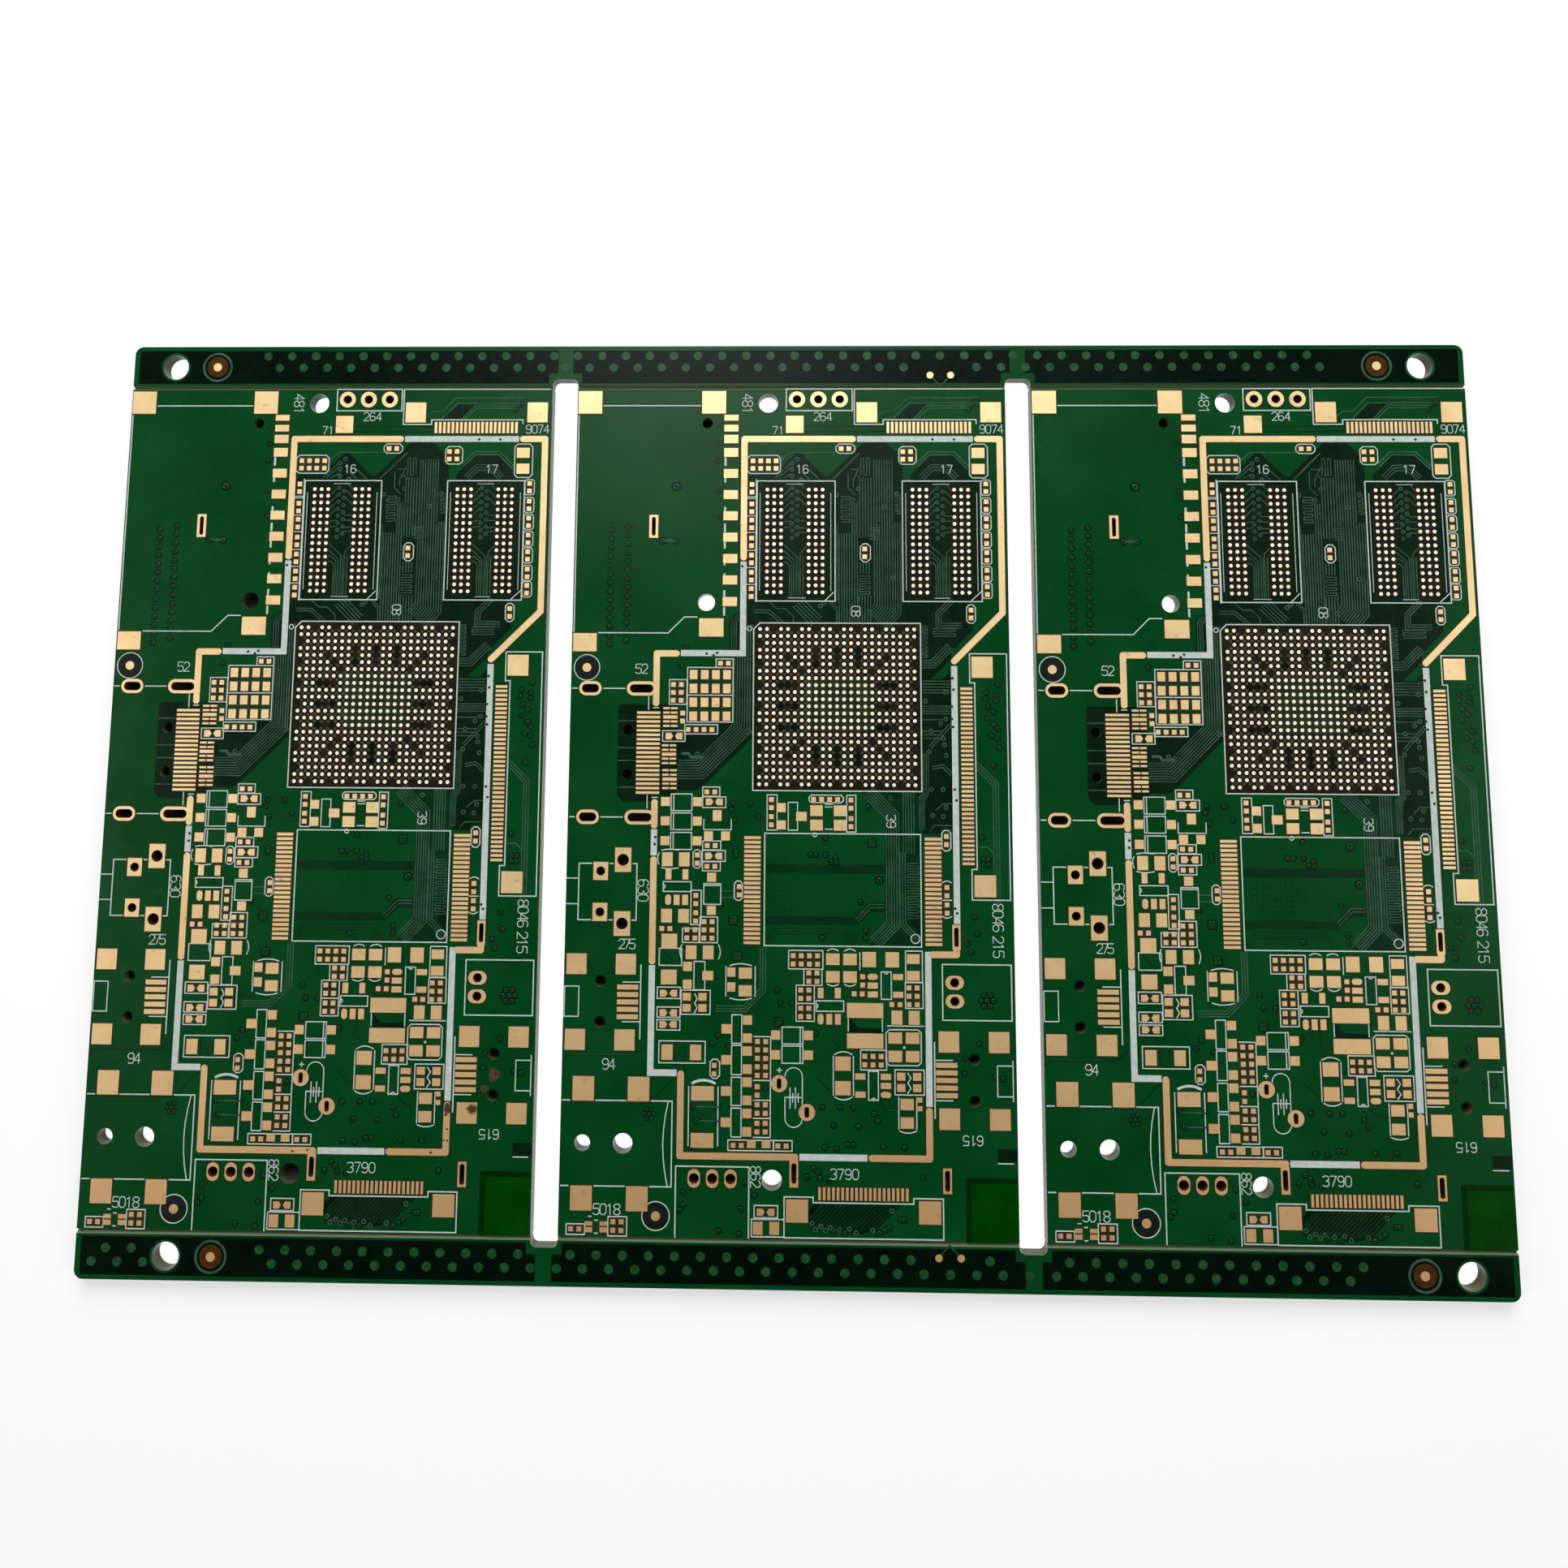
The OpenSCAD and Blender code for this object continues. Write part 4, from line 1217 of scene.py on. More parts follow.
@dataclass
class Planes:
    """The areas of a board whose ground is not the plain copper plane.

    Attributes:
        ground: Rough outline of the large area without copper, which is a node of the CAD.
        bare: Small areas without copper.
        dim: Areas with thin or broken copper.
        hatch: The area with a hatched plane.
        patch: Copper inside the bare areas.
        field: Ball fields.
        olive: The middle of the processor's field.
        thin: The clear corner without copper.
        shade: Painted shadow, a darker strip along the clear corner's left and upper edges.
    """

    ground: Zone = Zone((
        (20.05, 63.4), (18.65, 63.4), (18.65, 55.9), (16.9, 55.9), (16.9, 54.5), (13.2, 54.5), (12.3, 53.6),
        (12.3, 57.9), (5.5, 57.9), (5.5, 46.9), (12.3, 47.6), (14.6, 48.2), (20.95, 54.3), (20.95, 48.25),
        (39.95, 48.25), (39.95, 43.6), (43.35, 44.2), (43.35, 63.95), (45.9, 66.5), (45.9, 69.7),
        (46.9, 70.0), (46.9, 84.1), (43.9, 86.85), (41.2, 86.85), (38.05, 83.9), (37.5, 87.0), (36.1, 88.4),
        (33.45, 88.4), (29.5, 84.45), (28.9, 84.45), (26.2, 87.2), (24.0, 85.5), (20.05, 84.5),
    ))
    bare: Zones = (
        Zone(((18.1, 64.1), (19.3, 64.1), (19.3, 68.4), (18.9, 68.4), (18.1, 67.6))),
        Zone(((38.9, 36.0), (39.7, 35.2), (39.7, 32.6), (38.6, 33.6))),
        Zone(((37.2, 91.2), (38.9, 92.95), (41.0, 92.95), (39.4, 91.2))),
        Zone(rect(47.8, 8.5, 49.9, 9.87)),
        Zone(rect(31.7, 21.95, 35.35, 23.45)),
    )
    dim: Zones = (
        Zone(rect(22.4, 39.1, 35.8, 40.1)),
        Zone(((22.4, 33.5), (32.6, 33.5), (34.1, 34.9), (35.7, 34.9), (35.7, 36.0), (33.8, 36.0),
              (32.4, 34.4), (22.4, 34.4))),
        Zone(((33.0, 48.2), (35.75, 45.3), (35.75, 33.4), (33.9, 31.3), (39.7, 31.3), (39.7, 43.6),
              (40.6, 47.6), (40.6, 48.2))),
    )
    hatch: Zones = (
        Zone(((27.9, 3.95), (37.3, 3.95), (34.6, 1.25), (33.0, 0.9), (27.3, 1.3), (27.3, 3.3))),
    )
    patch: Zones = (
        Zone(((41.05, 60.9), (42.4, 60.9), (43.3, 61.8), (43.3, 63.1))),
        Zone(((31.9, 23.45), (32.0, 23.2), (32.7, 22.45), (35.3, 22.45), (35.3, 23.45))),
    )
    field: Zones = (
        Zone(rect(20.95, 48.25, 39.9, 67.2)),
        Zone(rect(21.9, 70.5, 24.4, 83.3)),
        Zone(rect(26.6, 70.5, 29.1, 83.3)),
        Zone(rect(38.7, 70.5, 41.2, 83.3)),
        Zone(rect(43.4, 70.5, 45.9, 83.3)),
    )
    olive: Zones = (TINNED_MIDDLE,)
    thin: Zones = (Zone(rect(44.9, 0.2, 49.85, 6.25)),)
    shade: Zones = (Zone(rect(44.3, 0.2, 49.85, 6.85)),)

    def dress(self) -> list[ZonePiece]:
        """List the pieces.

        Returns:
            One piece a kind of ground.
        """
        return [
            ZonePiece("bare_zones", Level.BARE, BARE, "green_mask", self.bare),
            ZonePiece("dim_zones", Level.DIM, DIM, "green_mask", self.dim),
            ZonePiece("hatch_ground", Level.BARE, HATCH, "green_mask", self.hatch),
            # Painted shadow along the clear corner's left and upper edges.
            ZonePiece("clear_corner_shadow", Level.BARE, SHADE, "green_mask", self.shade),
            ZonePiece("clear_corner", Level.PATCH, THIN, "green_mask", self.thin),
            ZonePiece("plane_patches", Level.PATCH, PATCH, "green_mask", self.patch),
            ZonePiece("ball_fields", Level.PATCH, FIELD, "", self.field),
            ZonePiece("tinned_middle", Level.CUT, OLIVE, "", self.olive),
        ]


# Parts of a via against its width: light ring and hole on bare ground, then rim, pad and dimple in the plane
VIA_RING, VIA_RING_BAND = 0.72, 0.26
VIA_HOLE = 0.46
VIA_RIM, VIA_RIM_BAND = 1.08, 0.28
VIA_PAD = 0.8
VIA_DIMPLE = 0.32
# Vias round the middle of a flower, their reach from it and width, against the flower's width
PETALS, PETAL_REACH, PETAL_WIDTH = 6, 0.36, 0.3


@dataclass
class Routing:
    """Traces, gaps in the plane, and vias of a board.

    Attributes:
        traces: Covered traces on bare ground.
        meanders: Traces that gain length.
        gaps: Gaps cut in the plane.
        hatch: Slanting lines of the hatched plane: first x, pitch and count, y of the upper ends, how far
            a line runs to the left, left edge of the plane, and width.
        vias: Vias, as x and y.
        via_width: Width of those vias.
        big_vias: Larger vias, as x, y and width.
        columns: Columns of vias beside the card socket, as the first x and y and the pitch.
        column_count: Vias in a column.
        column_width: Width of a column's vias.
        flowers: Vias with a round of others, as x, y and width.
        memory_stubs: Traces under the first memory.
        stub_width: Width of those traces.
        memory_pitch: Distance from the first memory to the second.
        memory_vias: Vias under the first memory: first x and y, step aside of every second one, step down,
            count and width.
        thermal: Small vias under the flash memory: first x and y, pitch, columns, rows and width.
        planes: Areas of the board, where vias look lighter.
    """

    traces: tuple[Bus, ...] = (
        Bus(((31.7, 77.6), (31.7, 67.4)), 8), Bus(((29.7, 69.6), (30.5, 68.8), (30.5, 67.3)), 2, 0.25),
        Bus(((33.7, 84.2), (33.7, 77.2)), 5, 0.33), Bus(((35.75, 86.3), (35.75, 78.8)), 8),
        Bus(((30.3, 78.6), (30.3, 69.9)), 2, 0.28), Bus(((32.45, 81.2), (32.45, 77.7)), 3, 0.27),
        Bus(((36.2, 78.9), (36.2, 68.9), (35.0, 67.5)), 11), Bus(((33.6, 70.4), (33.6, 67.4)), 5, 0.33),
        Bus(((33.6, 74.2), (33.6, 73.0)), 4, 0.33), Bus(((31.7, 84.9), (31.7, 83.0), (32.5, 82.2))),
        Bus(((32.0, 85.2), (32.9, 85.2), (32.3, 84.0), (32.3, 83.2))),
        Bus(((33.0, 85.4), (32.6, 84.6), (33.2, 84.0))), Bus(((30.0, 84.1), (33.0, 87.1)), 1, 0.3, 0.16),
        Bus(((25.9, 69.6), (28.1, 67.4)), 5, 0.36),
        Bus(((22.7, 69.6), (23.5, 68.9), (24.5, 68.9), (25.4, 68.0), (25.4, 67.2))),
        Bus(((20.9, 68.6), (22.6, 68.6), (24.1, 67.3)), 2), Bus(((23.9, 86.2), (25.0, 87.2), (30.3, 87.2))),
        Bus(((23.3, 84.2), (25.2, 86.1))), Bus(((23.7, 84.2), (25.0, 85.4))),
        Bus(((24.2, 84.2), (25.0, 84.6))), Bus(((26.3, 84.9), (27.2, 84.0))),
        Bus(((26.8, 85.5), (28.4, 84.0))),
        Bus(((12.9, 52.3), (13.6, 52.3), (13.9, 51.9), (15.2, 51.9)), 1, 0.3, 0.35),
        Bus(((18.6, 64.2), (18.6, 67.4), (19.2, 68.0)), 3, 0.27),
        Bus(((19.75, 63.3), (19.75, 55.4), (14.9, 50.55), (12.4, 50.55)), 8, 0.29),
        Bus(((20.5, 67.0), (20.5, 54.6)), 3, 0.27),
        Bus(((39.7, 85.7), (41.1, 87.1), (43.9, 87.1), (45.6, 85.4)), 2, 0.35, 0.16),
        Bus(((40.2, 84.2), (41.4, 85.4), (43.0, 85.4), (44.2, 84.2)), 3, 0.32),
        Bus(((40.0, 62.6), (41.3, 62.6), (43.3, 64.6)), 4, 0.28),
        Bus(((43.6, 70.0), (42.0, 68.4), (42.0, 67.0), (44.6, 67.0)), 3, 0.28),
        Bus(((40.0, 60.0), (43.2, 60.0)), 5, 0.33), Bus(((40.0, 57.4), (43.2, 57.4)), 4, 0.28),
        Bus(((40.0, 56.3), (42.6, 56.3)), 1), Bus(((40.0, 54.6), (42.3, 54.6)), 3, 0.4),
        Bus(((40.9, 53.2), (43.3, 55.8)), 2, 0.3), Bus(((41.2, 50.9), (42.3, 51.1), (43.3, 50.2)), 2, 0.3),
        Bus(((41.5, 46.2), (42.3, 46.9), (43.3, 46.9))), Bus(((40.8, 43.9), (41.3, 44.5), (43.3, 44.5))),
        Bus(((40.35, 52.5), (40.35, 48.0), (39.9, 47.5), (39.9, 44.0)), 4, 0.2, 0.1),
        Bus(((33.9, 48.2), (36.6, 45.5), (36.6, 33.6), (34.6, 31.6)), 6, 0.28),
        Bus(((38.4, 48.2), (38.4, 41.4)), 5, 0.3), Bus(((37.7, 41.4), (37.7, 33.6), (39.4, 31.9)), 3, 0.28),
        Bus(((32.6, 34.1), (34.1, 35.6), (35.6, 35.6)), 2, 0.35),
        Bus(((35.2, 91.5), (35.9, 92.1), (37.0, 92.1), (38.65, 93.75), (46.8, 93.75))),
        Bus(((36.9, 91.2), (38.8, 93.1), (46.9, 93.1))), Bus(((39.3, 91.2), (40.9, 92.8), (46.3, 92.8))),
        Bus(((39.7, 91.2), (41.1, 92.5), (45.7, 92.5))),
        Bus(((45.9, 51.4), (48.2, 49.1), (48.2, 36.0)), 3, 0.3),
        Bus(((22.15, 31.0), (22.15, 26.4), (20.1, 24.35), (17.0, 24.35)), 3, 0.3),
        Bus(((10.2, 76.75), (11.8, 76.75)), 1, 0.3, 0.3),
        Bus(((46.0, 42.15), (47.2, 42.15), (47.9, 41.45), (47.9, 40.0))), Bus(((14.6, 13.9), (17.3, 13.9))),
        Bus(((15.0, 12.4), (17.3, 12.4))), Bus(((5.6, 56.0), (7.6, 56.0))),
        Bus(((5.6, 52.95), (7.6, 52.95))), Bus(((5.6, 51.5), (7.6, 51.5))), Bus(((5.6, 48.5), (7.6, 48.5))),
        Bus(((17.5, 36.75), (19.0, 36.75)), 2, 0.7),
    )
    meanders: tuple[Meander, ...] = (
        Meander((40.1, 63.4), 0.6, 0.25, 15), Meander((33.0, 70.6), 1.2, 0.3, 8),
        Meander((38.25, 34.3), 1.2, 0.3, 21), Meander((33.2, 84.5), 2.0, 0.33, 4, True),
        Meander((30.9, 79.0), 1.0, 0.33, 10), Meander((34.25, 77.0), 1.0, 0.33, 5),
        Meander((37.2, 80.0), 0.5, 0.27, 9), Meander((41.4, 65.8), 2.5, 0.28, 4),
    )
    gaps: tuple[Bus, ...] = (
        Bus(((22.3, 31.5), (23.6, 32.8), (31.1, 32.8), (32.4, 31.5)), 3, 0.3, 0.1),
        Bus(((0.1, 18.6), (0.7, 19.25), (8.0, 19.25), (9.4, 20.6))),
        Bus(((12.6, 20.9), (12.6, 17.0), (9.8, 14.2), (0.1, 14.2))), Bus(((13.6, 20.6), (13.6, 14.5))),
        Bus(((26.6, 90.35), (36.0, 90.35))), Bus(((26.6, 89.7), (36.0, 89.7))),
        Bus(((11.0, 30.6), (12.2, 29.2))), Bus(((27.9, 17.3), (29.8, 15.6))),
        Bus(((34.8, 14.8), (35.8, 13.7), (37.0, 13.7))), Bus(((30.0, 22.9), (30.0, 21.0), (30.7, 20.3))),
        Bus(((16.4, 90.0), (17.2, 91.0))),
    )
    hatch: tuple[float, float, int, float, float, float, float] = (28.9, 0.5, 17, 3.9, 2.6, 27.5, 0.2)
    vias: Path = (
        (16.7, 88.2), (16.6, 86.2), (16.8, 82.6), (16.9, 79.6), (25.2, 85.9), (25.8, 86.4), (25.2, 85.2),
        (25.2, 84.4), (26.3, 84.0), (46.7, 93.3), (46.2, 92.9), (45.7, 92.3), (30.4, 82.2), (35.9, 80.8),
        (36.8, 72.5), (32.2, 81.6), (32.9, 82.9), (37.3, 82.3), (14.6, 52.3), (27.6, 1.9), (28.0, 1.3),
        (28.6, 1.6), (29.1, 1.2), (29.6, 1.5), (30.0, 1.1), (30.6, 1.3), (31.2, 0.95), (31.7, 1.4),
        (32.4, 1.0), (34.2, 1.3), (34.9, 1.0), (37.2, 2.4), (28.5, 69.2), (28.9, 69.5), (42.7, 59.4),
        (40.4, 58.4), (42.7, 56.4), (42.1, 55.9), (41.0, 55.0), (42.4, 54.2), (42.5, 53.5), (40.8, 52.7),
        (42.7, 52.3), (41.0, 48.5), (42.3, 48.5), (41.1, 45.6), (42.3, 45.5), (42.6, 46.5), (48.6, 60.3),
        (47.3, 59.4), (48.4, 59.1), (47.2, 58.7), (48.4, 58.5), (47.5, 57.8), (48.1, 57.2), (47.4, 56.5),
        (48.1, 55.8), (48.5, 55.3), (47.8, 54.5), (48.5, 54.2), (48.7, 53.2), (48.0, 51.2), (13.1, 64.4),
        (12.6, 62.3), (34.1, 42.3), (34.5, 42.3), (34.1, 42.7), (34.5, 42.7), (29.1, 43.0), (27.4, 41.15),
        (28.0, 41.15), (29.1, 41.15), (30.2, 40.8), (29.7, 40.4), (30.3, 40.3), (33.0, 36.0), (28.7, 32.1),
        (33.6, 32.1), (33.6, 32.9), (33.9, 46.5), (36.4, 47.5), (18.7, 46.8), (18.5, 46.1), (20.6, 46.8),
        (21.5, 45.3), (18.9, 44.9), (19.0, 41.4), (19.0, 41.0), (17.4, 35.5), (18.6, 33.7), (19.0, 33.7),
        (18.6, 34.1), (19.0, 34.1), (19.1, 29.8), (19.5, 29.8), (19.1, 30.2), (19.5, 30.2), (23.75, 22.8),
        (24.15, 22.8), (23.75, 23.2), (24.15, 23.2), (46.6, 43.2), (46.7, 40.2), (47.3, 40.2), (46.7, 40.8),
        (47.3, 40.8), (45.7, 34.5), (45.9, 32.7), (44.8, 31.6), (45.2, 30.6), (23.7, 26.4), (24.1, 25.0),
        (25.4, 25.0), (17.2, 21.5), (28.0, 21.8), (16.6, 20.6), (18.4, 20.3), (28.7, 14.0), (30.7, 14.0),
        (32.1, 14.0), (30.0, 12.1), (32.7, 12.0), (29.0, 9.8), (30.3, 9.7), (31.5, 10.1), (32.1, 10.1),
        (22.5, 15.9), (34.4, 13.4), (34.8, 12.6), (35.4, 9.9), (37.7, 9.9), (39.7, 6.8), (27.8, 7.6),
        (28.3, 7.2), (28.5, 6.6), (27.1, 6.7), (29.5, 6.4), (21.4, 4.7), (19.9, 3.3), (17.5, 1.0),
        (19.7, 0.7), (20.3, 6.0), (13.6, 4.95), (13.6, 3.6), (13.2, 3.1), (37.6, 2.4), (35.5, 1.3),
        (36.0, 1.6), (36.3, 3.3), (44.4, 19.3), (44.3, 17.7), (46.0, 20.9), (47.7, 17.4), (48.5, 17.2),
        (14.6, 13.9), (17.3, 13.9), (15.0, 12.4), (17.3, 12.4),
    )
    via_width: float = 0.56
    big_vias: Spots = (
        (11.76, 83.15, 0.9), (10.25, 76.75, 0.7), (11.8, 76.75, 0.7), (35.1, 38.4, 0.8),
    )
    columns: Spots = ((4.3, 78.0, 1.023), (6.25, 78.4, 1.015))
    column_count: int = 14
    column_width: float = 0.62
    flowers: Spots = ((9.73, 13.07, 1.45), (46.9, 25.5, 1.9))
    memory_stubs: tuple[Path, ...] = (
        ((24.3, 82.2), (25.0, 82.9)), ((24.3, 81.4), (25.1, 82.1)), ((24.3, 80.6), (25.1, 81.4)),
        ((24.3, 79.8), (25.1, 80.6)), ((24.3, 79.0), (25.1, 79.1)), ((24.3, 78.3), (25.1, 78.4)),
        ((26.0, 83.7), (26.9, 82.7)), ((26.1, 82.6), (26.9, 81.8)), ((26.0, 81.8), (26.9, 80.9)),
        ((26.0, 79.7), (26.9, 79.7)), ((26.0, 79.1), (26.9, 79.1)), ((26.0, 78.3), (26.9, 78.3)),
        ((26.0, 77.8), (26.9, 77.8)), ((24.3, 76.3), (25.75, 75.0), (25.75, 70.3)),
        ((24.3, 75.6), (25.45, 74.5), (25.45, 70.3)),
        ((24.3, 74.9), (24.7, 74.8), (25.2, 74.3), (25.2, 70.3)),
        ((24.3, 74.3), (24.7, 74.2), (24.95, 73.9), (24.95, 70.3)),
        ((26.9, 76.1), (26.2, 75.4), (26.2, 70.3)), ((26.0, 74.9), (26.0, 70.3)),
        ((26.5, 74.9), (26.5, 70.3)),
    )
    stub_width: float = 0.12
    memory_pitch: float = 16.8
    memory_vias: tuple[float, float, float, float, int, float] = (25.2, 83.0, 0.6, 0.42, 15, 0.5)
    thermal: tuple[float, float, float, int, int, float] = (23.6, 35.6, 0.62, 8, 6, 0.24)
    planes: Planes = field(default_factory=Planes)

    def dress(self, units: Units) -> list[Sheet]:
        """Draw the layers.

        Args:
            units: Stroke, disc and crater shapes.

        Returns:
            Traces, gaps and vias.
        """
        traces = Sheet("traces", Level.TRACE, TRACE, "green_mask", *units)
        for bus in self.traces:
            for line in bus.lines():
                traces.path(line, bus.width)
        for meander in self.meanders:
            traces.path(meander.line(), meander.width)
        for shift in (0.0, self.memory_pitch):
            for path in self.memory_stubs:
                traces.path(tuple((x + shift, y) for x, y in path), self.stub_width)
        hatch = Sheet("hatch", Level.TRACE, HATCH_LINE, "green_mask", *units)
        first, pitch, count, top, slant, edge, width = self.hatch
        for k in range(count):
            x = first + pitch * k
            foot = max(edge, x - slant)
            hatch.stroke((x, top), (foot, top - (x - foot)), width)
        gaps = Sheet("plane_gaps", Level.CUT, CUT, "green_mask", *units)
        for bus in self.gaps:
            for line in bus.lines():
                gaps.path(line, bus.width)
        return [traces, hatch, gaps, *self.dress_vias(units)]

    def places(self) -> list[tuple[float, float, float]]:
        """List all vias.

        Returns:
            Their places and widths.
        """
        found = [(x, y, self.via_width) for x, y in self.vias]
        for k in range(self.column_count):
            found.extend((x, y - pitch * k, self.column_width) for x, y, pitch in self.columns)
        left, top, aside, down, count, width = self.memory_vias
        for shift in (0.0, self.memory_pitch):
            found.extend((left + aside * (k % 2) + shift, top - down * k, width) for k in range(count))
        found.extend(self.big_vias)
        for x, y, across in self.flowers:
            reach, width = PETAL_REACH * across, PETAL_WIDTH * across
            found.append((x, y, width))
            for k in range(PETALS):
                angle = math.tau * k / PETALS
                found.append((x + reach * math.cos(angle), y + reach * math.sin(angle), width))
        return found

    def dress_vias(self, units: Units) -> list[Sheet]:
        """Draw the vias, with a dark rim in the plane and a light one on bare ground.

        Args:
            units: Stroke, disc and crater shapes.

        Returns:
            Pads, light rings and dark middles.
        """
        rims = Sheet("via_rims", Level.CUT, CUT, "green_mask", *units)
        pads = Sheet("via_pads", Level.VIA, PAD, "green_mask", *units)
        rings = Sheet("via_rings", Level.VIA, TRACE, "green_mask", *units)
        middles = Sheet("via_middles", Level.SPOT, CUT, "green_mask", *units)
        left, low, pitch, columns, rows, width = self.thermal
        for k in range(columns * rows):
            pads.disc((left + pitch * (k % columns), low + pitch * (k // columns)), width)
        ground = (self.planes.ground, *self.planes.bare, *self.planes.hatch, *self.planes.dim)
        for x, y, across in self.places():
            if any(zone.holds((x, y)) for zone in ground):
                rings.ring((x, y), VIA_RING * across, VIA_RING_BAND * across)
                middles.disc((x, y), VIA_HOLE * across)
            else:
                rims.ring((x, y), VIA_RIM * across, VIA_RIM_BAND * across)
                pads.via((x, y), VIA_PAD * across)
                middles.disc((x, y), VIA_DIMPLE * across)
        return [rims, pads, rings, middles]


@dataclass
class BallField:
    """Small vias and open channels between the processor's balls.

    Attributes:
        centre: Middle of the grid, in board mm.
        count: Balls along a side.
        pitch: Distance from ball to ball.
        middle: Area without small vias.
        channel_depths: First and last ball that a channel leaves out, counted from the edge.
        channel_sides: Distances of the channels from the middle row, in balls.
        channel_width: Width of the ground where a ball is left out.
        via: Width across the middle of a small via's band, and the band's own.
    """

    centre: Point = (30.4, 57.75)
    count: int = 23
    pitch: float = 0.8
    middle: Zone = TINNED_MIDDLE
    channel_depths: tuple[int, int] = (3, 5)
    channel_sides: tuple[int, int] = (0, 3)
    channel_width: float = 0.86
    via: Point = (0.24, 0.1)

    def at(self, column: float, row: float) -> Point:
        """Give a place in the grid, counted from its lower left ball."""
        half = 0.5 * (self.count - 1)
        return (self.centre[0] + (column - half) * self.pitch, self.centre[1] + (row - half) * self.pitch)

    def in_channel(self, column: int, row: int) -> bool:
        """Tell whether a channel leaves out a ball.

        Args:
            column: Column of the ball.
            row: Its row.

        Returns:
            True where there is no ball.
        """
        depth = min(column, self.count - 1 - column)
        first, last = self.channel_depths
        return first <= depth <= last and abs(row - self.count // 2) in self.channel_sides

    def dress(self, units: Units) -> list[Sheet]:
        """Draw the vias and the channels.

        Args:
            units: Stroke, disc and crater shapes.

        Returns:
            The channels' grounds and the vias.
        """
        clear = Sheet("field_channels", Level.CUT, CLEAR, "", *units)
        rings = Sheet("field_vias", Level.TRACE, TIN, "", *units)
        for column in range(self.count):
            for row in range(self.count):
                if self.in_channel(column, row) or self.in_channel(row, column):
                    clear.disc(self.at(column, row), self.channel_width)
                place = self.at(column + 0.5, row + 0.5)
                if max(column, row) < self.count - 1 and not self.middle.holds(place):
                    rings.ring(place, *self.via)
        return [clear, rings]


@dataclass
class Openings:
    """The brown rims where the mask stands back from the lands.

    Attributes:
        nodes: CAD nodes of the middle board whose lands have a rim.
        reach: Width of the rim.
        chip_reach: Width of the rim round the lands of small chips, which lie in one opening.
        lap: How far a rim reaches under its land.
        aims: Grounds of the board's aiming marks, as place and width.
    """

    nodes: tuple[str, ...] = (
        "flash_lands", "card_socket_lands", "video_socket_lands", "protection_lands", "ribbon_lands",
        "side_connector_lands", "jack_lands", "chip_lands", "capacitor_lands", "diode_lands",
        "transistor_lands", "shield_track", "plated_pin_holes", "plated_slots")
    reach: float = 0.09
    chip_reach: float = 0.15
    lap: float = 0.05
    aims: tuple[tuple[Point, float], ...] = (((1.8, 62.05), 2.8), ((10.63, 2.43), 2.85))

    def dress(self, units: Units) -> list[Sheet]:
        """Lay a rim round each land.

        Args:
            units: Stroke, disc and crater shapes.

        Returns:
            The rims and the grounds of the aiming marks.
        """
        rims = Sheet("mask_openings", Level.OPENING, BROWN, "", *units)
        for node in self.nodes:
            reach = self.chip_reach if node == "chip_lands" else self.reach
            for outline in self.outlines(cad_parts[f"centre_{node}"]):
                rims.ring_round(outline, self.lap, reach)
        grounds = Sheet("aim_grounds", Level.OPENING, DARK, "", *units)
        for centre, across in self.aims:
            grounds.disc(centre, across)
        return [rims, grounds]

    @staticmethod
    def outlines(piece: Piece) -> list[np.ndarray]:
        """Find the outer outlines of the flat tops of a node.

        Args:
            piece: The node's object.

        Returns:
            One anticlockwise outline a land, in board mm.
        """
        place, following = Openings.rim(piece)
        found = []
        while following:
            first, step = next(iter(following.items()))
            loop = []
            while step in following or step == first:
                loop.append(step)
                if step == first:
                    break
                step = following.pop(step)
            following.pop(first, None)
            if len(loop) < 3:
                continue
            ring = np.array([place[k] for k in loop])
            area = 0.5 * np.sum(ring[:, 0] * np.roll(ring[:, 1], -1) - ring[:, 1] * np.roll(ring[:, 0], -1))
            if area > 0.0:
                found.append(ring + np.array([0.5 * BOARD_W, 0.5 * BOARD_H]))
        return found

    @staticmethod
    def rim(piece: Piece) -> tuple[dict[int, np.ndarray], dict[int, int]]:
        """Find the edges round the flat tops of a node.

        Args:
            piece: The node's object.

        Returns:
            The place of each corner, in panel mm, and the corner that follows each corner of a rim.
        """
        mesh = piece.data
        mesh.calc_loop_triangles()
        points = np.empty(len(mesh.vertices) * 3)
        mesh.vertices.foreach_get("co", points)
        points = points.reshape(-1, 3) / MM
        corners = np.empty(len(mesh.loop_triangles) * 3, dtype=np.int32)
        mesh.loop_triangles.foreach_get("vertices", corners)
        corners = corners.reshape(-1, 3)
        on_top = np.all(points[corners][:, :, 2] > LAND_TOP - 0.001, axis=1)
        _, merged = np.unique(np.round(points[:, :2], 3), axis=0, return_inverse=True)
        merged = merged.reshape(-1)
        place: dict[int, np.ndarray] = {}
        edges: set[tuple[int, int]] = set()
        for triangle in corners[on_top]:
            numbers = [int(merged[k]) for k in triangle]
            for k in range(3):
                edges.add((numbers[k], numbers[(k + 1) % 3]))
                place[numbers[k]] = points[triangle[k]][:2]
        return place, {a: b for a, b in edges if (b, a) not in edges}


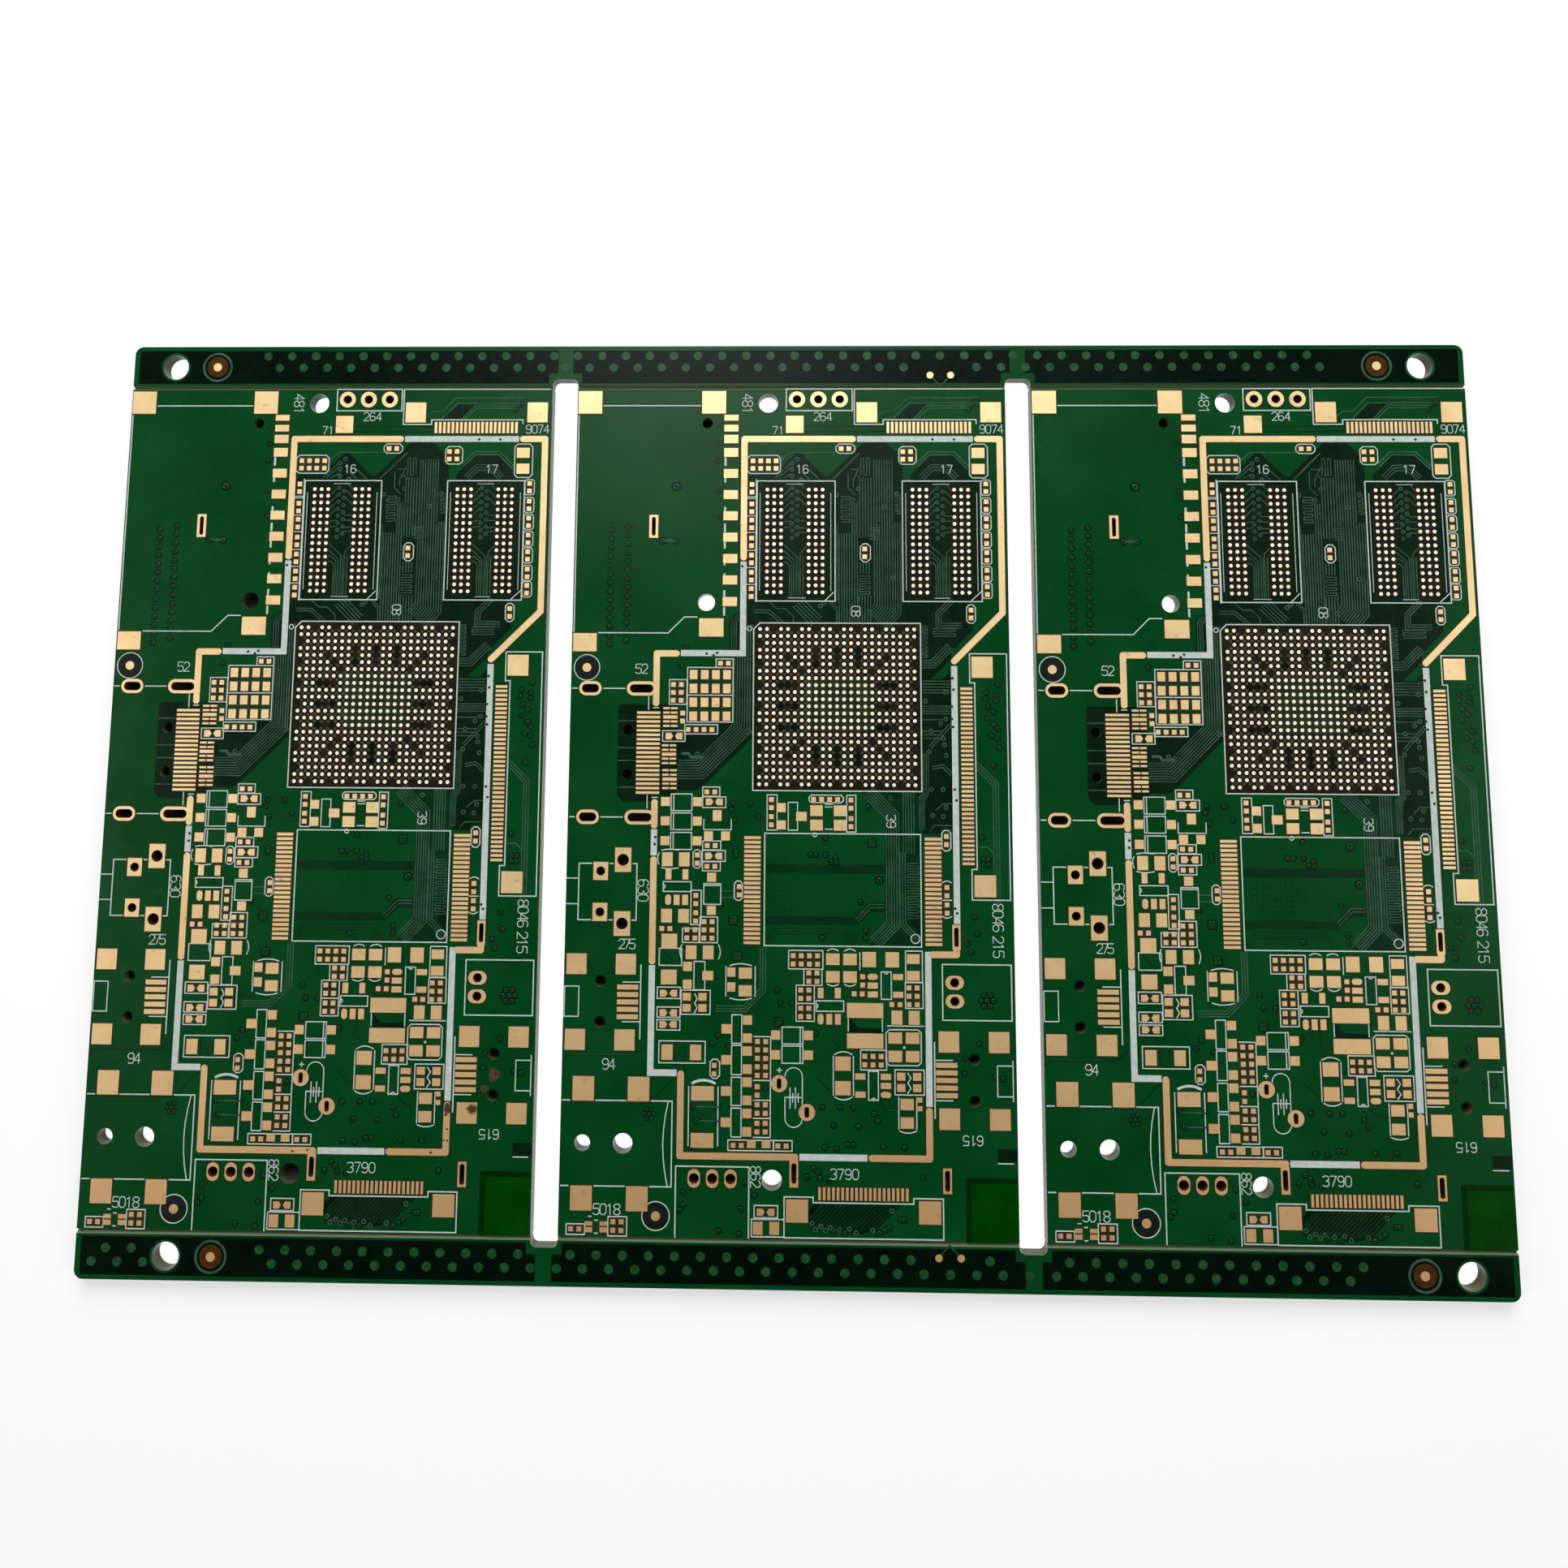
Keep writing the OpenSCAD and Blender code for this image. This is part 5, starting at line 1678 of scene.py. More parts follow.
# Strokes of the digits in a box 0.6 wide and 1 high
STROKES: dict[str, Path] = {
    "0": (
        (0.15, 0.0), (0.45, 0.0), (0.6, 0.2), (0.6, 0.8), (0.45, 1.0), (0.15, 1.0), (0.0, 0.8), (0.0, 0.2),
        (0.15, 0.0),
    ),
    "1": ((0.1, 0.8), (0.3, 1.0), (0.3, 0.0)),
    "2": ((0.0, 0.8), (0.15, 1.0), (0.45, 1.0), (0.6, 0.8), (0.6, 0.6), (0.0, 0.0), (0.6, 0.0)),
    "3": (
        (0.0, 0.9), (0.15, 1.0), (0.45, 1.0), (0.6, 0.85), (0.6, 0.65), (0.35, 0.52), (0.6, 0.4),
        (0.6, 0.15), (0.45, 0.0), (0.15, 0.0), (0.0, 0.1),
    ),
    "4": ((0.45, 0.0), (0.45, 1.0), (0.0, 0.3), (0.6, 0.3)),
    "5": (
        (0.6, 1.0), (0.05, 1.0), (0.0, 0.55), (0.4, 0.6), (0.6, 0.45), (0.6, 0.15), (0.45, 0.0),
        (0.15, 0.0), (0.0, 0.12),
    ),
    "6": (
        (0.55, 0.9), (0.45, 1.0), (0.15, 1.0), (0.0, 0.8), (0.0, 0.2), (0.15, 0.0), (0.45, 0.0), (0.6, 0.2),
        (0.6, 0.4), (0.45, 0.55), (0.15, 0.55), (0.0, 0.4),
    ),
    "7": (
        (0.0, 1.0), (0.6, 1.0), (0.2, 0.0),
    ),
    "8": (
        (0.2, 0.52), (0.0, 0.7), (0.0, 0.85), (0.15, 1.0), (0.45, 1.0), (0.6, 0.85), (0.6, 0.7),
        (0.4, 0.52), (0.2, 0.52), (0.0, 0.35), (0.0, 0.15), (0.15, 0.0), (0.45, 0.0), (0.6, 0.15),
        (0.6, 0.35), (0.4, 0.52),
    ),
    "9": (
        (0.05, 0.1), (0.15, 0.0), (0.45, 0.0), (0.6, 0.2), (0.6, 0.8), (0.45, 1.0), (0.15, 1.0), (0.0, 0.8),
        (0.0, 0.6), (0.15, 0.45), (0.45, 0.45), (0.6, 0.6),
    ),
}


class Turn(Enum):
    """Ways a numeral can stand, valued by its turn in degrees."""

    UPRIGHT = 0
    DOWNWARDS = -90
    OVER = 180


@dataclass(frozen=True)
class Numeral:
    """A plain number drawn in strokes.

    Attributes:
        digits: The number.
        start: Foot of its first digit, in board mm.
        tall: Height of a digit.
        advance: Distance from digit to digit.
        turn: The way it stands.
    """

    digits: str
    start: Point
    tall: float
    advance: float
    turn: Turn = Turn.UPRIGHT

    def draw(self, sheet: Sheet, width: float) -> None:
        """Draw the number.

        Args:
            sheet: Sheet that it goes in.
            width: Width of the strokes.
        """
        angle = math.radians(self.turn.value)
        for k, digit in enumerate(self.digits):
            path = []
            for x, y in STROKES[digit]:
                along = x * self.tall + k * self.advance
                up = y * self.tall
                path.append((self.start[0] + along * math.cos(angle) - up * math.sin(angle),
                             self.start[1] + along * math.sin(angle) + up * math.cos(angle)))
            sheet.path(tuple(path), width)


@dataclass
class Legend:
    """The printed outlines and numbers of a board.

    Attributes:
        line: Width of an outline.
        fine_line: Width of a thin line.
        side_line: Width of an arc and of the outlines beside the memories.
        digit_line: Width of a digit's strokes.
        corner: Largest cut of a corner, and its share of the outline's smaller side.
        boxes: Outlines with square corners, as left, bottom, right and top.
        rounded: Outlines with cut corners.
        fine: Thin single lines.
        paths: Single lines.
        bows: Bowed lines, as two ends and the rise.
        heavy_bow: The one thick bow, as two ends, the rise and the width.
        arcs: Parts of circles, as middle, radius and the two angles.
        dashes: Dashes beside the card socket, as x, first y, pitch, length, count and width.
        right_box: Outline beside the second memory: left, right, reach below and above, and corner.
        right_rows: Places of such outlines along y.
        left_box: Lines beside the first memory: left, right, foot and top.
        left_rows: Places of its level lines along y.
        numerals: Numbers.
    """

    line: float = 0.13
    fine_line: float = 0.08
    side_line: float = 0.12
    digit_line: float = 0.105
    corner: Point = (0.34, 0.3)
    boxes: Boxes = (
        (11.3, 57.9, 13.3, 60.7), (13.35, 55.9, 18.55, 62.1), (13.1, 54.55, 16.85, 55.6),
        (16.6, 62.1, 18.55, 63.1), (10.6, 53.7, 13.15, 54.9), (15.24, 47.56, 17.17, 48.6),
        (15.24, 46.3, 17.86, 47.5), (15.27, 40.35, 17.86, 41.55), (11.68, 45.94, 14.03, 47.8),
        (11.68, 43.83, 14.03, 45.69), (11.68, 41.63, 14.03, 43.52), (15.3, 41.6, 17.33, 42.6),
        (15.3, 39.3, 17.3, 40.3), (15.48, 35.63, 17.38, 37.9), (10.93, 37.0, 14.07, 38.08),
        (28.04, 24.18, 31.1, 25.3), (35.24, 25.53, 36.36, 28.47), (33.81, 14.8, 34.88, 17.86),
        (14.05, 33.4, 15.2, 37.15), (13.15, 31.45, 15.0, 33.0), (15.1, 31.45, 17.07, 34.25),
        (22.52, 43.86, 23.64, 47.77), (31.47, 43.7, 32.5, 47.77), (0.12, 23.35, 1.7, 26.6),
        (24.9, 43.85, 25.95, 46.95), (10.45, 25.38, 13.0, 26.6), (10.45, 23.37, 13.0, 24.46),
        (10.45, 22.0, 13.0, 23.1), (13.1, 23.7, 16.33, 26.3), (36.7, 15.4, 39.9, 18.05),
        (14.5, 26.35, 15.7, 29.4), (10.6, 28.95, 13.1, 30.8), (10.72, 18.5, 15.83, 20.83),
        (0.9, 0.4, 2.9, 1.5), (5.45, 0.3, 7.5, 2.3), (18.75, 20.65, 19.85, 23.7),
        (18.75, 17.33, 19.85, 20.44), (18.75, 14.07, 19.85, 17.05), (18.75, 10.76, 19.85, 13.79),
        (24.3, 20.65, 26.6, 22.45), (24.3, 18.6, 26.6, 20.44), (32.95, 18.0, 35.8, 20.1),
        (18.43, 9.35, 23.4, 10.45), (23.44, 9.35, 25.45, 10.45), (21.35, 2.4, 23.9, 3.68),
        (21.05, 0.45, 24.6, 2.25), (25.0, 28.7, 28.8, 30.7), (26.7, 26.95, 28.7, 28.7),
        (25.85, 25.0, 27.85, 26.95), (25.85, 23.1, 27.85, 25.0), (37.95, 27.4, 39.8, 30.75),
        (37.9, 24.6, 39.85, 27.35), (47.9, 15.34, 49.6, 18.58),
    )
    rounded: Boxes = (
        (20.0, 84.7, 23.85, 86.85), (30.3, 87.1, 32.5, 88.2), (37.6, 85.8, 39.6, 87.9),
        (45.75, 84.2, 47.85, 88.2), (33.1, 74.35, 34.25, 76.45), (45.2, 67.3, 46.2, 69.4),
        (14.24, 39.6, 15.13, 41.6), (27.24, 46.93, 31.1, 47.77), (18.9, 36.1, 19.8, 38.2),
        (42.1, 41.7, 43.1, 43.95), (16.4, 16.9, 17.45, 18.95), (35.75, 18.5, 39.6, 22.3),
    )
    fine: tuple[Path, ...] = (
        ((21.5, 71.0), (21.5, 82.4)), ((29.7, 71.0), (29.7, 82.4)), ((38.35, 71.0), (38.35, 82.4)),
        ((46.55, 71.0), (46.55, 82.4)), ((24.6, 83.45), (26.5, 83.45)), ((41.5, 83.45), (43.4, 83.45)),
        ((24.8, 70.15), (26.8, 70.15)), ((41.6, 70.15), (43.3, 70.15)),
    )
    paths: tuple[Path, ...] = (
        ((29.0, 69.8), (30.0, 70.8)), ((45.8, 69.9), (47.0, 71.0)), ((13.35, 58.95), (18.55, 58.95)),
        ((8.95, 46.2), (8.95, 47.6)), ((8.95, 57.3), (8.95, 58.7)), ((9.5, 47.4), (10.1, 47.4)),
        ((9.5, 57.5), (10.1, 57.5)), ((11.97, 45.94), (11.97, 47.8)), ((11.97, 43.83), (11.97, 45.69)),
        ((11.97, 41.63), (11.97, 43.52)), ((15.4, 45.0), (15.4, 43.85), (18.5, 43.85), (18.5, 45.0)),
        ((15.48, 37.7), (17.38, 37.7)), ((0.1, 38.38), (1.35, 38.38)), ((0.1, 35.56), (1.35, 35.56)),
        ((29.05, 46.75), (29.85, 46.75)), ((29.05, 46.45), (29.85, 46.45)), ((29.05, 44.0), (29.85, 44.0)),
        ((42.1, 36.3), (43.1, 36.3)), ((6.6, 27.1), (8.5, 27.1)), ((6.6, 22.83), (8.5, 22.83)),
        ((14.07, 9.8), (14.07, 16.0)), ((17.3, 9.8), (17.3, 16.0)),
        ((21.2, 21.4), (22.95, 21.4), (23.05, 21.3), (23.05, 10.75), (21.2, 10.75)),
        ((21.2, 16.75), (23.05, 16.75)), ((21.2, 14.65), (23.05, 14.65)), ((21.2, 12.75), (23.05, 12.75)),
        ((26.3, 20.65), (26.3, 22.45)), ((26.3, 18.6), (26.3, 20.44)), ((24.65, 15.0), (26.6, 15.0)),
        ((25.2, 13.85), (25.2, 16.0)), ((25.8, 13.85), (25.8, 16.0)), ((25.5, 14.5), (25.5, 15.4)),
        ((26.1, 14.5), (26.1, 15.4)), ((23.8, 17.86), (24.26, 17.86)), ((24.03, 17.63), (24.03, 18.09)),
        ((29.95, 15.3), (29.95, 19.4)), ((32.15, 15.3), (32.15, 19.4)), ((37.1, 11.8), (37.1, 15.1)),
        ((39.05, 11.8), (39.05, 15.1)), ((35.9, 22.7), (39.9, 22.7)), ((31.6, 22.1), (31.6, 23.4)),
        ((35.35, 22.1), (35.35, 23.4)), ((21.3, 25.7), (21.3, 28.9)), ((18.05, 25.7), (18.05, 28.9)),
        ((32.9, 28.7), (32.9, 30.5)), ((41.2, 19.1), (43.0, 19.1)), ((41.2, 14.85), (43.0, 14.85)),
        ((49.6, 14.85), (49.6, 19.1)), ((47.85, 8.35), (49.5, 8.35)),
        ((14.6, 23.9), (14.9, 24.4), (14.6, 24.9), (14.9, 25.4), (14.6, 25.9)),
        ((38.1, 15.6), (38.45, 16.1), (38.1, 16.65), (38.45, 17.2), (38.1, 17.7)),
        ((24.65, 12.8), (24.65, 15.0)), ((26.55, 12.8), (26.55, 17.2)), ((3.3, 2.3), (3.6, 2.3)),
        ((4.0, 1.9), (4.3, 1.9)), ((4.0, 0.55), (4.3, 0.55)),
    )
    bows: tuple[tuple[Point, Point, float], ...] = (
        ((10.4, 40.0), (10.4, 41.2), 0.15), ((10.7, 41.55), (12.6, 41.55), 0.1),
        ((12.6, 39.6), (10.7, 39.6), 0.1), ((43.1, 38.2), (42.1, 38.2), -0.2),
        ((42.1, 34.55), (43.1, 34.55), -0.2), ((17.2, 29.7), (17.2, 31.2), -0.2),
        ((13.1, 31.2), (13.1, 29.7), -0.2), ((11.85, 14.4), (11.85, 5.5), -0.55),
        ((30.1, 19.6), (32.0, 19.6), 0.3), ((32.0, 15.1), (30.1, 15.1), 0.3),
        ((39.0, 11.6), (37.2, 11.6), 0.2), ((29.3, 30.7), (30.5, 30.7), 0.2),
        ((31.2, 30.7), (32.4, 30.7), 0.2), ((30.5, 27.1), (29.3, 27.1), 0.2),
        ((32.4, 27.1), (31.2, 27.1), 0.2), ((18.5, 29.0), (20.9, 29.0), 0.2),
        ((20.9, 25.5), (18.5, 25.5), 0.2),
    )
    heavy_bow: tuple[Point, Point, float, float] = ((14.5, 16.4), (16.9, 16.4), 0.3, 0.3)
    arcs: tuple[tuple[Point, float, float, float], ...] = (
        ((20.4, 66.6), 0.26, 0, 360), ((27.9, 43.37), 0.22, 0, 360), ((39.06, 32.07), 0.5, 0, 360),
        ((1.8, 62.05), 1.47, 0, 360), ((10.63, 2.43), 1.5, 0, 360), ((37.73, 20.4), 0.08, 0, 360),
        ((25.6, 17.2), 0.95, 0, 180), ((25.6, 12.8), 0.95, 180, 360), ((10.93, 37.54), 0.22, -90, 90),
        ((28.04, 24.74), 0.22, -90, 90), ((35.8, 28.47), 0.22, 180, 360), ((34.35, 14.8), 0.22, 0, 180),
    )
    dashes: tuple[float, float, float, float, int, float] = (17.45, 86.5, 1.95, 0.8, 10, 0.26)
    right_box: tuple[float, float, float, float, float] = (47.05, 48.15, 0.45, 1.35, 0.2)
    right_rows: tuple[float, ...] = (82.6, 80.5, 78.5, 76.5, 74.55, 72.5, 70.6)
    left_box: tuple[float, float, float, float] = (20.0, 21.05, 69.7, 84.0)
    left_rows: tuple[float, ...] = (81.95, 81.75, 79.7, 77.75, 75.65, 73.65, 71.7)
    numerals: tuple[Numeral, ...] = (
        Numeral("481", (19.4, 94.2), 1.15, 0.82, Turn.DOWNWARDS), Numeral("264", (27.75, 91.0), 0.98, 0.74),
        Numeral("71", (22.95, 89.4), 0.9, 0.72), Numeral("9074", (47.0, 89.5), 0.98, 0.7),
        Numeral("16", (25.75, 84.75), 0.95, 0.75), Numeral("17", (42.45, 84.75), 0.95, 0.75),
        Numeral("08", (32.05, 69.2), 1.0, 0.55, Turn.DOWNWARDS), Numeral("52", (7.4, 61.4), 1.05, 0.72),
        Numeral("630", (8.1, 38.25), 1.15, 0.82, Turn.DOWNWARDS), Numeral("275", (6.05, 30.7), 1.05, 0.6),
        Numeral("39", (35.95, 45.6), 1.0, 0.75, Turn.DOWNWARDS),
        Numeral("8046", (47.65, 35.9), 1.15, 0.75, Turn.DOWNWARDS),
        Numeral("215", (47.65, 32.4), 1.15, 0.78, Turn.DOWNWARDS), Numeral("94", (4.5, 17.75), 1.1, 0.72),
        Numeral("5018", (3.8, 2.5), 1.1, 0.76), Numeral("862", (20.95, 7.7), 1.05, 0.76, Turn.DOWNWARDS),
        Numeral("3790", (29.65, 6.5), 1.05, 0.8), Numeral("615", (46.2, 11.2), 1.0, 0.76, Turn.OVER),
    )

    def dress(self, units: Units) -> list[Sheet]:
        """Draw the legend.

        Args:
            units: Stroke, disc and crater shapes.

        Returns:
            The outlines and the numbers.
        """
        ink = Sheet("legend", Level.INK, INK, "white_ink", *units)
        for x0, y0, x1, y1 in self.boxes:
            ink.box((x0, y0), (x1, y1), self.line)
        for x0, y0, x1, y1 in self.rounded:
            cut = min(self.corner[0], self.corner[1] * min(x1 - x0, y1 - y0))
            ink.box((x0, y0), (x1, y1), self.line, cut)
        for path in self.paths:
            ink.path(path, self.line)
        for path in self.fine:
            ink.path(path, self.fine_line)
        for start, end, rise in self.bows:
            ink.bow(start, end, rise, self.line)
        ink.bow(*self.heavy_bow)
        for centre, radius, start, end in self.arcs:
            ink.arc(centre, radius, start, end, self.side_line)
        self.draw_sides(ink)
        numbers = Sheet("numbers", Level.INK, INK, "white_ink", *units)
        for numeral in self.numerals:
            numeral.draw(numbers, self.digit_line)
        return [ink, numbers]

    def draw_sides(self, ink: Sheet) -> None:
        """Draw the rows beside the card socket and the memories.

        Args:
            ink: Sheet that they go in.
        """
        x, first, pitch, length, count, width = self.dashes
        for k in range(count):
            ink.stroke((x, first - pitch * k), (x, first - length - pitch * k), width)
        left, right, below, above, corner = self.right_box
        for y in self.right_rows:
            ink.box((left, y - below), (right, y + above), self.side_line, corner)
        left, right, low, high = self.left_box
        for y in self.left_rows:
            ink.stroke((left, y), (right, y), self.side_line)
        ink.stroke((right, low), (right, high), self.side_line)


@dataclass
class Wear:
    """Dark spots on the ink strips, and the stains of one board.

    Attributes:
        spots: Vias that show dark through the ink, as x and y.
        spot_width: Width of a spot.
        stains: Brown patches on the left board.
    """

    spots: Path = (
        (41.5, 88.75), (44.0, 88.75), (9.95, 43.0), (9.9, 42.2), (19.5, 73.8), (43.5, 61.0), (43.6, 59.7),
        (43.4, 57.8), (43.4, 56.4), (43.5, 55.5), (43.6, 48.5), (43.8, 47.3), (43.5, 35.4), (43.7, 34.9),
        (15.5, 63.7), (16.3, 63.5), (16.7, 63.8),
    )
    spot_width: float = 0.34
    stains: Zones = (Zone(blot((44.5, 15.5), 0.45, 0.4)), Zone(blot((45.5, 17.0), 0.6, 0.75)))

    def stain(self) -> Piece:
        """Lay the brown stains on the left board.

        Returns:
            The finished piece.
        """
        patches = ZonePiece("left_stain", Level.OPENING, STAIN, "", self.stains)
        return patches.finish_at(patches.name, Board.LEFT.origin(), STAIN.make())

    def dress(self, units: Units) -> list[Sheet]:
        """Set the spots.

        Args:
            units: Stroke, disc and crater shapes.

        Returns:
            The spots, as one sheet.
        """
        spots = Sheet("spots", Level.SPOT, SPOT, "", *units)
        for centre in self.spots:
            spots.disc(centre, self.spot_width)
        return [spots]


@dataclass
class Rails:
    """Marks of the two rails.

    Attributes:
        marks: Aiming marks, as x and y.
        ground: Width of a mark's ground.
        ring: Width across the middle of a mark's ring, and of its band.
        tests: Places of the test lands along the rails.
        test_row: Distance of the test lands from the panel's middle.
        joint: Place where their traces meet, on the upper rail.
        trace: Width of a trace.
    """

    marks: tuple[Point, ...] = ((-68.0, 50.0), (68.0, 50.0), (-63.0, -50.0), (68.0, -50.0))
    ground: float = 2.5
    ring: Point = (3.3, 0.27)
    tests: tuple[float, float] = (16.3, 18.7)
    test_row: float = 48.95
    joint: Point = (17.5, 47.6)
    trace: float = 0.16

    def dress(self) -> list[Piece]:
        """Make the rails' pieces.

        Returns:
            The finished pieces.
        """
        units = model_units(disc_sides=48, disc_taper=0.97)
        amber = Sheet("rail_mark_grounds", Level.TRACE, AMBER, "", *units)
        rings = Sheet("rail_mark_rings", Level.TRACE, TRACE, "green_mask", *units)
        traces = Sheet("rail_test_traces", Level.TRACE, DOT, "green_mask", *units)
        for place in self.marks:
            amber.disc(place, self.ground)
            rings.ring(place, *self.ring)
        for sign in (1.0, -1.0):
            for x in self.tests:
                traces.stroke((x, sign * self.test_row), (self.joint[0], sign * self.joint[1]), self.trace)
        return [part.finish_at(part.name, (0.0, 0.0), part.finish.make()) for part in (amber, rings, traces)]


# Studio


@dataclass(frozen=True)
class Lamp:
    """A soft square light that looks at the panel.

    Attributes:
        name: Its name.
        place: Its place, in metres.
        size: Its side, in metres.
        power: Its power, in watts.
    """

    name: str
    place: tuple[float, float, float]
    size: float
    power: float

    def hang(self) -> None:
        """Add the light to the scene."""
        lamp = bpy.data.lights.new(self.name, "AREA")
        lamp.size = self.size
        lamp.energy = self.power
        holder = bpy.data.objects.new(self.name, lamp)
        holder.location = self.place
        holder.rotation_euler = (-Vector(self.place)).to_track_quat("-Z", "Y").to_euler()
        bpy.context.scene.collection.objects.link(holder)


@dataclass
class Studio:
    """A white floor with a wall round it, soft light and the camera.

    Attributes:
        lens: Focal length, in mm.
        eye: Place of the camera, in mm.
        forward: Its direction of view.
        up: Its upward direction.
        shift: Shift of the picture, as shares of its width.
        sensor: Width of the sensor, in mm.
        clip: Nearest distance that the camera sees, in metres.
        lamps: The lights.
        world_level: Strength of the even light from all round.
        floor_size: Side of the floor, in metres.
        wall: Radius and height of the wall round the floor, in metres.
        pale: Lightness of the floor and the wall.
        shaded: Painted shade, the lightness of the floor under the boards, dark so that small holes show
            dark.
        near_glow: How far the floor beside the panel shows white.
        fade: Distances from the middle where that starts to grow and where it is full, in metres.
        tuck: How far the pale floor reaches under the panel, in mm.
        spill: How far it shows white round a hole, in mm.
        slot_reach: Distance from the middle that it shows white under the slots, in mm.
    """

    lens: float = 25.763
    eye: tuple[float, float, float] = (0.12, 7.26, 129.6)
    forward: tuple[float, float, float] = (-0.0215, 0.1065, -0.9941)
    up: tuple[float, float, float] = (-0.0034, 0.9943, 0.1066)
    shift: Point = (0.0110, -0.1095)
    sensor: float = 36.0
    clip: float = 0.005
    lamps: tuple[Lamp, ...] = (
        Lamp("back", (0.0, 0.45, 0.33), 0.4, 4.2),
        Lamp("left", (-0.8, -0.05, 0.5), 0.5, 3.0),
        Lamp("right", (0.8, -0.05, 0.5), 0.5, 3.0),
        Lamp("top", (-0.036, 0.139, 0.257), 0.1, 0.06),
    )
    world_level: float = 0.03
    floor_size: float = 4.0
    wall: Point = (1.95, 0.9)
    pale: float = 0.93
    shaded: float = 0.06
    near_glow: float = 0.55
    fade: Point = (0.12, 0.7)
    tuck: float = 1.0
    spill: float = 0.4
    slot_reach: float = 49.0

    def build(self) -> None:
        """Set up floor, light and camera."""
        self.floor()
        self.backdrop()
        for lamp in self.lamps:
            lamp.hang()
        self.world()
        self.camera()
        bpy.context.scene.view_settings.view_transform = "Standard"

    def floor(self) -> None:
        """Lay the floor, which is white in the picture, keeps a shadow, and is painted dark under the boards
        as shade.
        """
        clear_selection()
        bpy.ops.mesh.primitive_plane_add(size=self.floor_size)
        floor = bpy.context.object
        floor.name = "floor"
        bpy.ops.object.mode_set(mode="EDIT")
        bpy.ops.mesh.subdivide(number_cuts=3)
        bpy.ops.object.mode_set(mode="OBJECT")
        material, part = self.paper("floor")
        tree = material.node_tree
        seen = part.links[0].from_socket
        glow = self.clear_floor(tree)
        tree.links.new(reckon(tree, "MULTIPLY", seen, glow), part)
        # Painted shade: the floor is dark under the boards, where it shows only through holes.
        lit = reckon(tree, "GREATER_THAN", glow, 0.01)
        light = reckon(tree, "ADD", reckon(tree, "MULTIPLY", lit, self.pale - self.shaded), self.shaded)
        tree.links.new(light, tree.nodes["Principled BSDF"].inputs["Base Color"])
        floor.data.materials.append(material)

    def backdrop(self) -> None:
        """Stand a low white wall round the floor."""
        clear_selection()
        bpy.ops.mesh.primitive_circle_add(vertices=64, radius=self.wall[0], fill_type="NOTHING")
        wall = bpy.context.object
        wall.name = "backdrop"
        bpy.ops.object.mode_set(mode="EDIT")
        bpy.ops.mesh.select_all(action="SELECT")
        lift(self.wall[1])
        bpy.ops.object.mode_set(mode="OBJECT")
        wall.data.materials.append(self.paper("backdrop")[0])

    def paper(self, name: str) -> tuple[Material, Socket]:
        """Make a white paper that shows white in the picture and in reflections.

        Args:
            name: Name of the material.

        Returns:
            The material, and the socket that takes the share that shows white.
        """
        material = bpy.data.materials.new(name)
        material.use_nodes = True
        tree = material.node_tree
        shader = tree.nodes["Principled BSDF"]
        shader.inputs["Base Color"].default_value = (self.pale, self.pale, self.pale, 1.0)
        shader.inputs["Roughness"].default_value = 0.9
        shader.inputs["Specular IOR Level"].default_value = 0.0
        glow = tree.nodes.new("ShaderNodeEmission")
        rays = tree.nodes.new("ShaderNodeLightPath").outputs
        seen = reckon(tree, "ADD", rays["Is Camera Ray"], rays["Is Glossy Ray"])
        seen = reckon(tree, "ADD", seen, rays["Is Transmission Ray"])
        mix = tree.nodes.new("ShaderNodeMixShader")
        tree.links.new(seen, mix.inputs["Fac"])
        tree.links.new(shader.outputs["BSDF"], mix.inputs[1])
        tree.links.new(glow.outputs["Emission"], mix.inputs[2])
        tree.links.new(mix.outputs["Shader"], tree.nodes["Material Output"].inputs["Surface"])
        return material, mix.inputs["Fac"]

    def clear_floor(self, tree: Tree) -> Socket:
        """Find how far the floor glows: wholly under slots and wide holes, in part beside the panel.

        Args:
            tree: Node tree of the floor's material.

        Returns:
            A socket that is 0 under the boards.
        """
        coords = tree.nodes.new("ShaderNodeTexCoord").outputs["Object"]
        place = axes(tree, coords)
        across = reckon(tree, "ABSOLUTE", place["X"])
        along = reckon(tree, "ABSOLUTE", place["Y"])
        beside = reckon(tree, "GREATER_THAN", across, (PANEL_HALF_W - self.tuck) * MM)
        before = reckon(tree, "GREATER_THAN", along, (PANEL_HALF_H - self.tuck) * MM)
        away = tree.nodes.new("ShaderNodeVectorMath")
        away.operation = "LENGTH"
        tree.links.new(coords, away.inputs[0])
        white = span(tree, away.outputs["Value"], self.fade, (self.near_glow, 1.0))
        glow = reckon(tree, "MULTIPLY", reckon(tree, "MAXIMUM", beside, before), white)
        gap = reckon(tree, "ABSOLUTE", reckon(tree, "SUBTRACT", across, 0.5 * BOARD_PITCH * MM))
        within = reckon(tree, "LESS_THAN", along, self.slot_reach * MM)
        slot = reckon(tree, "MULTIPLY", reckon(tree, "LESS_THAN", gap, (0.5 * SLOT_W + 0.1) * MM), within)
        glow = reckon(tree, "MAXIMUM", glow, slot)
        from_left = reckon(tree, "ADD", place["X"], 1.5 * BOARD_PITCH * MM)
        local = reckon(tree, "FLOORED_MODULO", from_left, BOARD_PITCH * MM)
        left = reckon(tree, "LESS_THAN", place["X"], -0.5 * BOARD_PITCH * MM)
        hidden_left = reckon(tree, "MAXIMUM", beside, left)
        for x, y, wide in WIDE_HOLES:
            middle = (x + 0.5 * SLOT_W, y - 0.5 * BOARD_H)
            spot = self.near(tree, (local, place["Y"]), middle, wide)
            hidden = hidden_left if (x, y, wide) in SHADED_HOLES else beside
            glow = reckon(tree, "MAXIMUM", glow, reckon(tree, "SUBTRACT", spot, hidden))
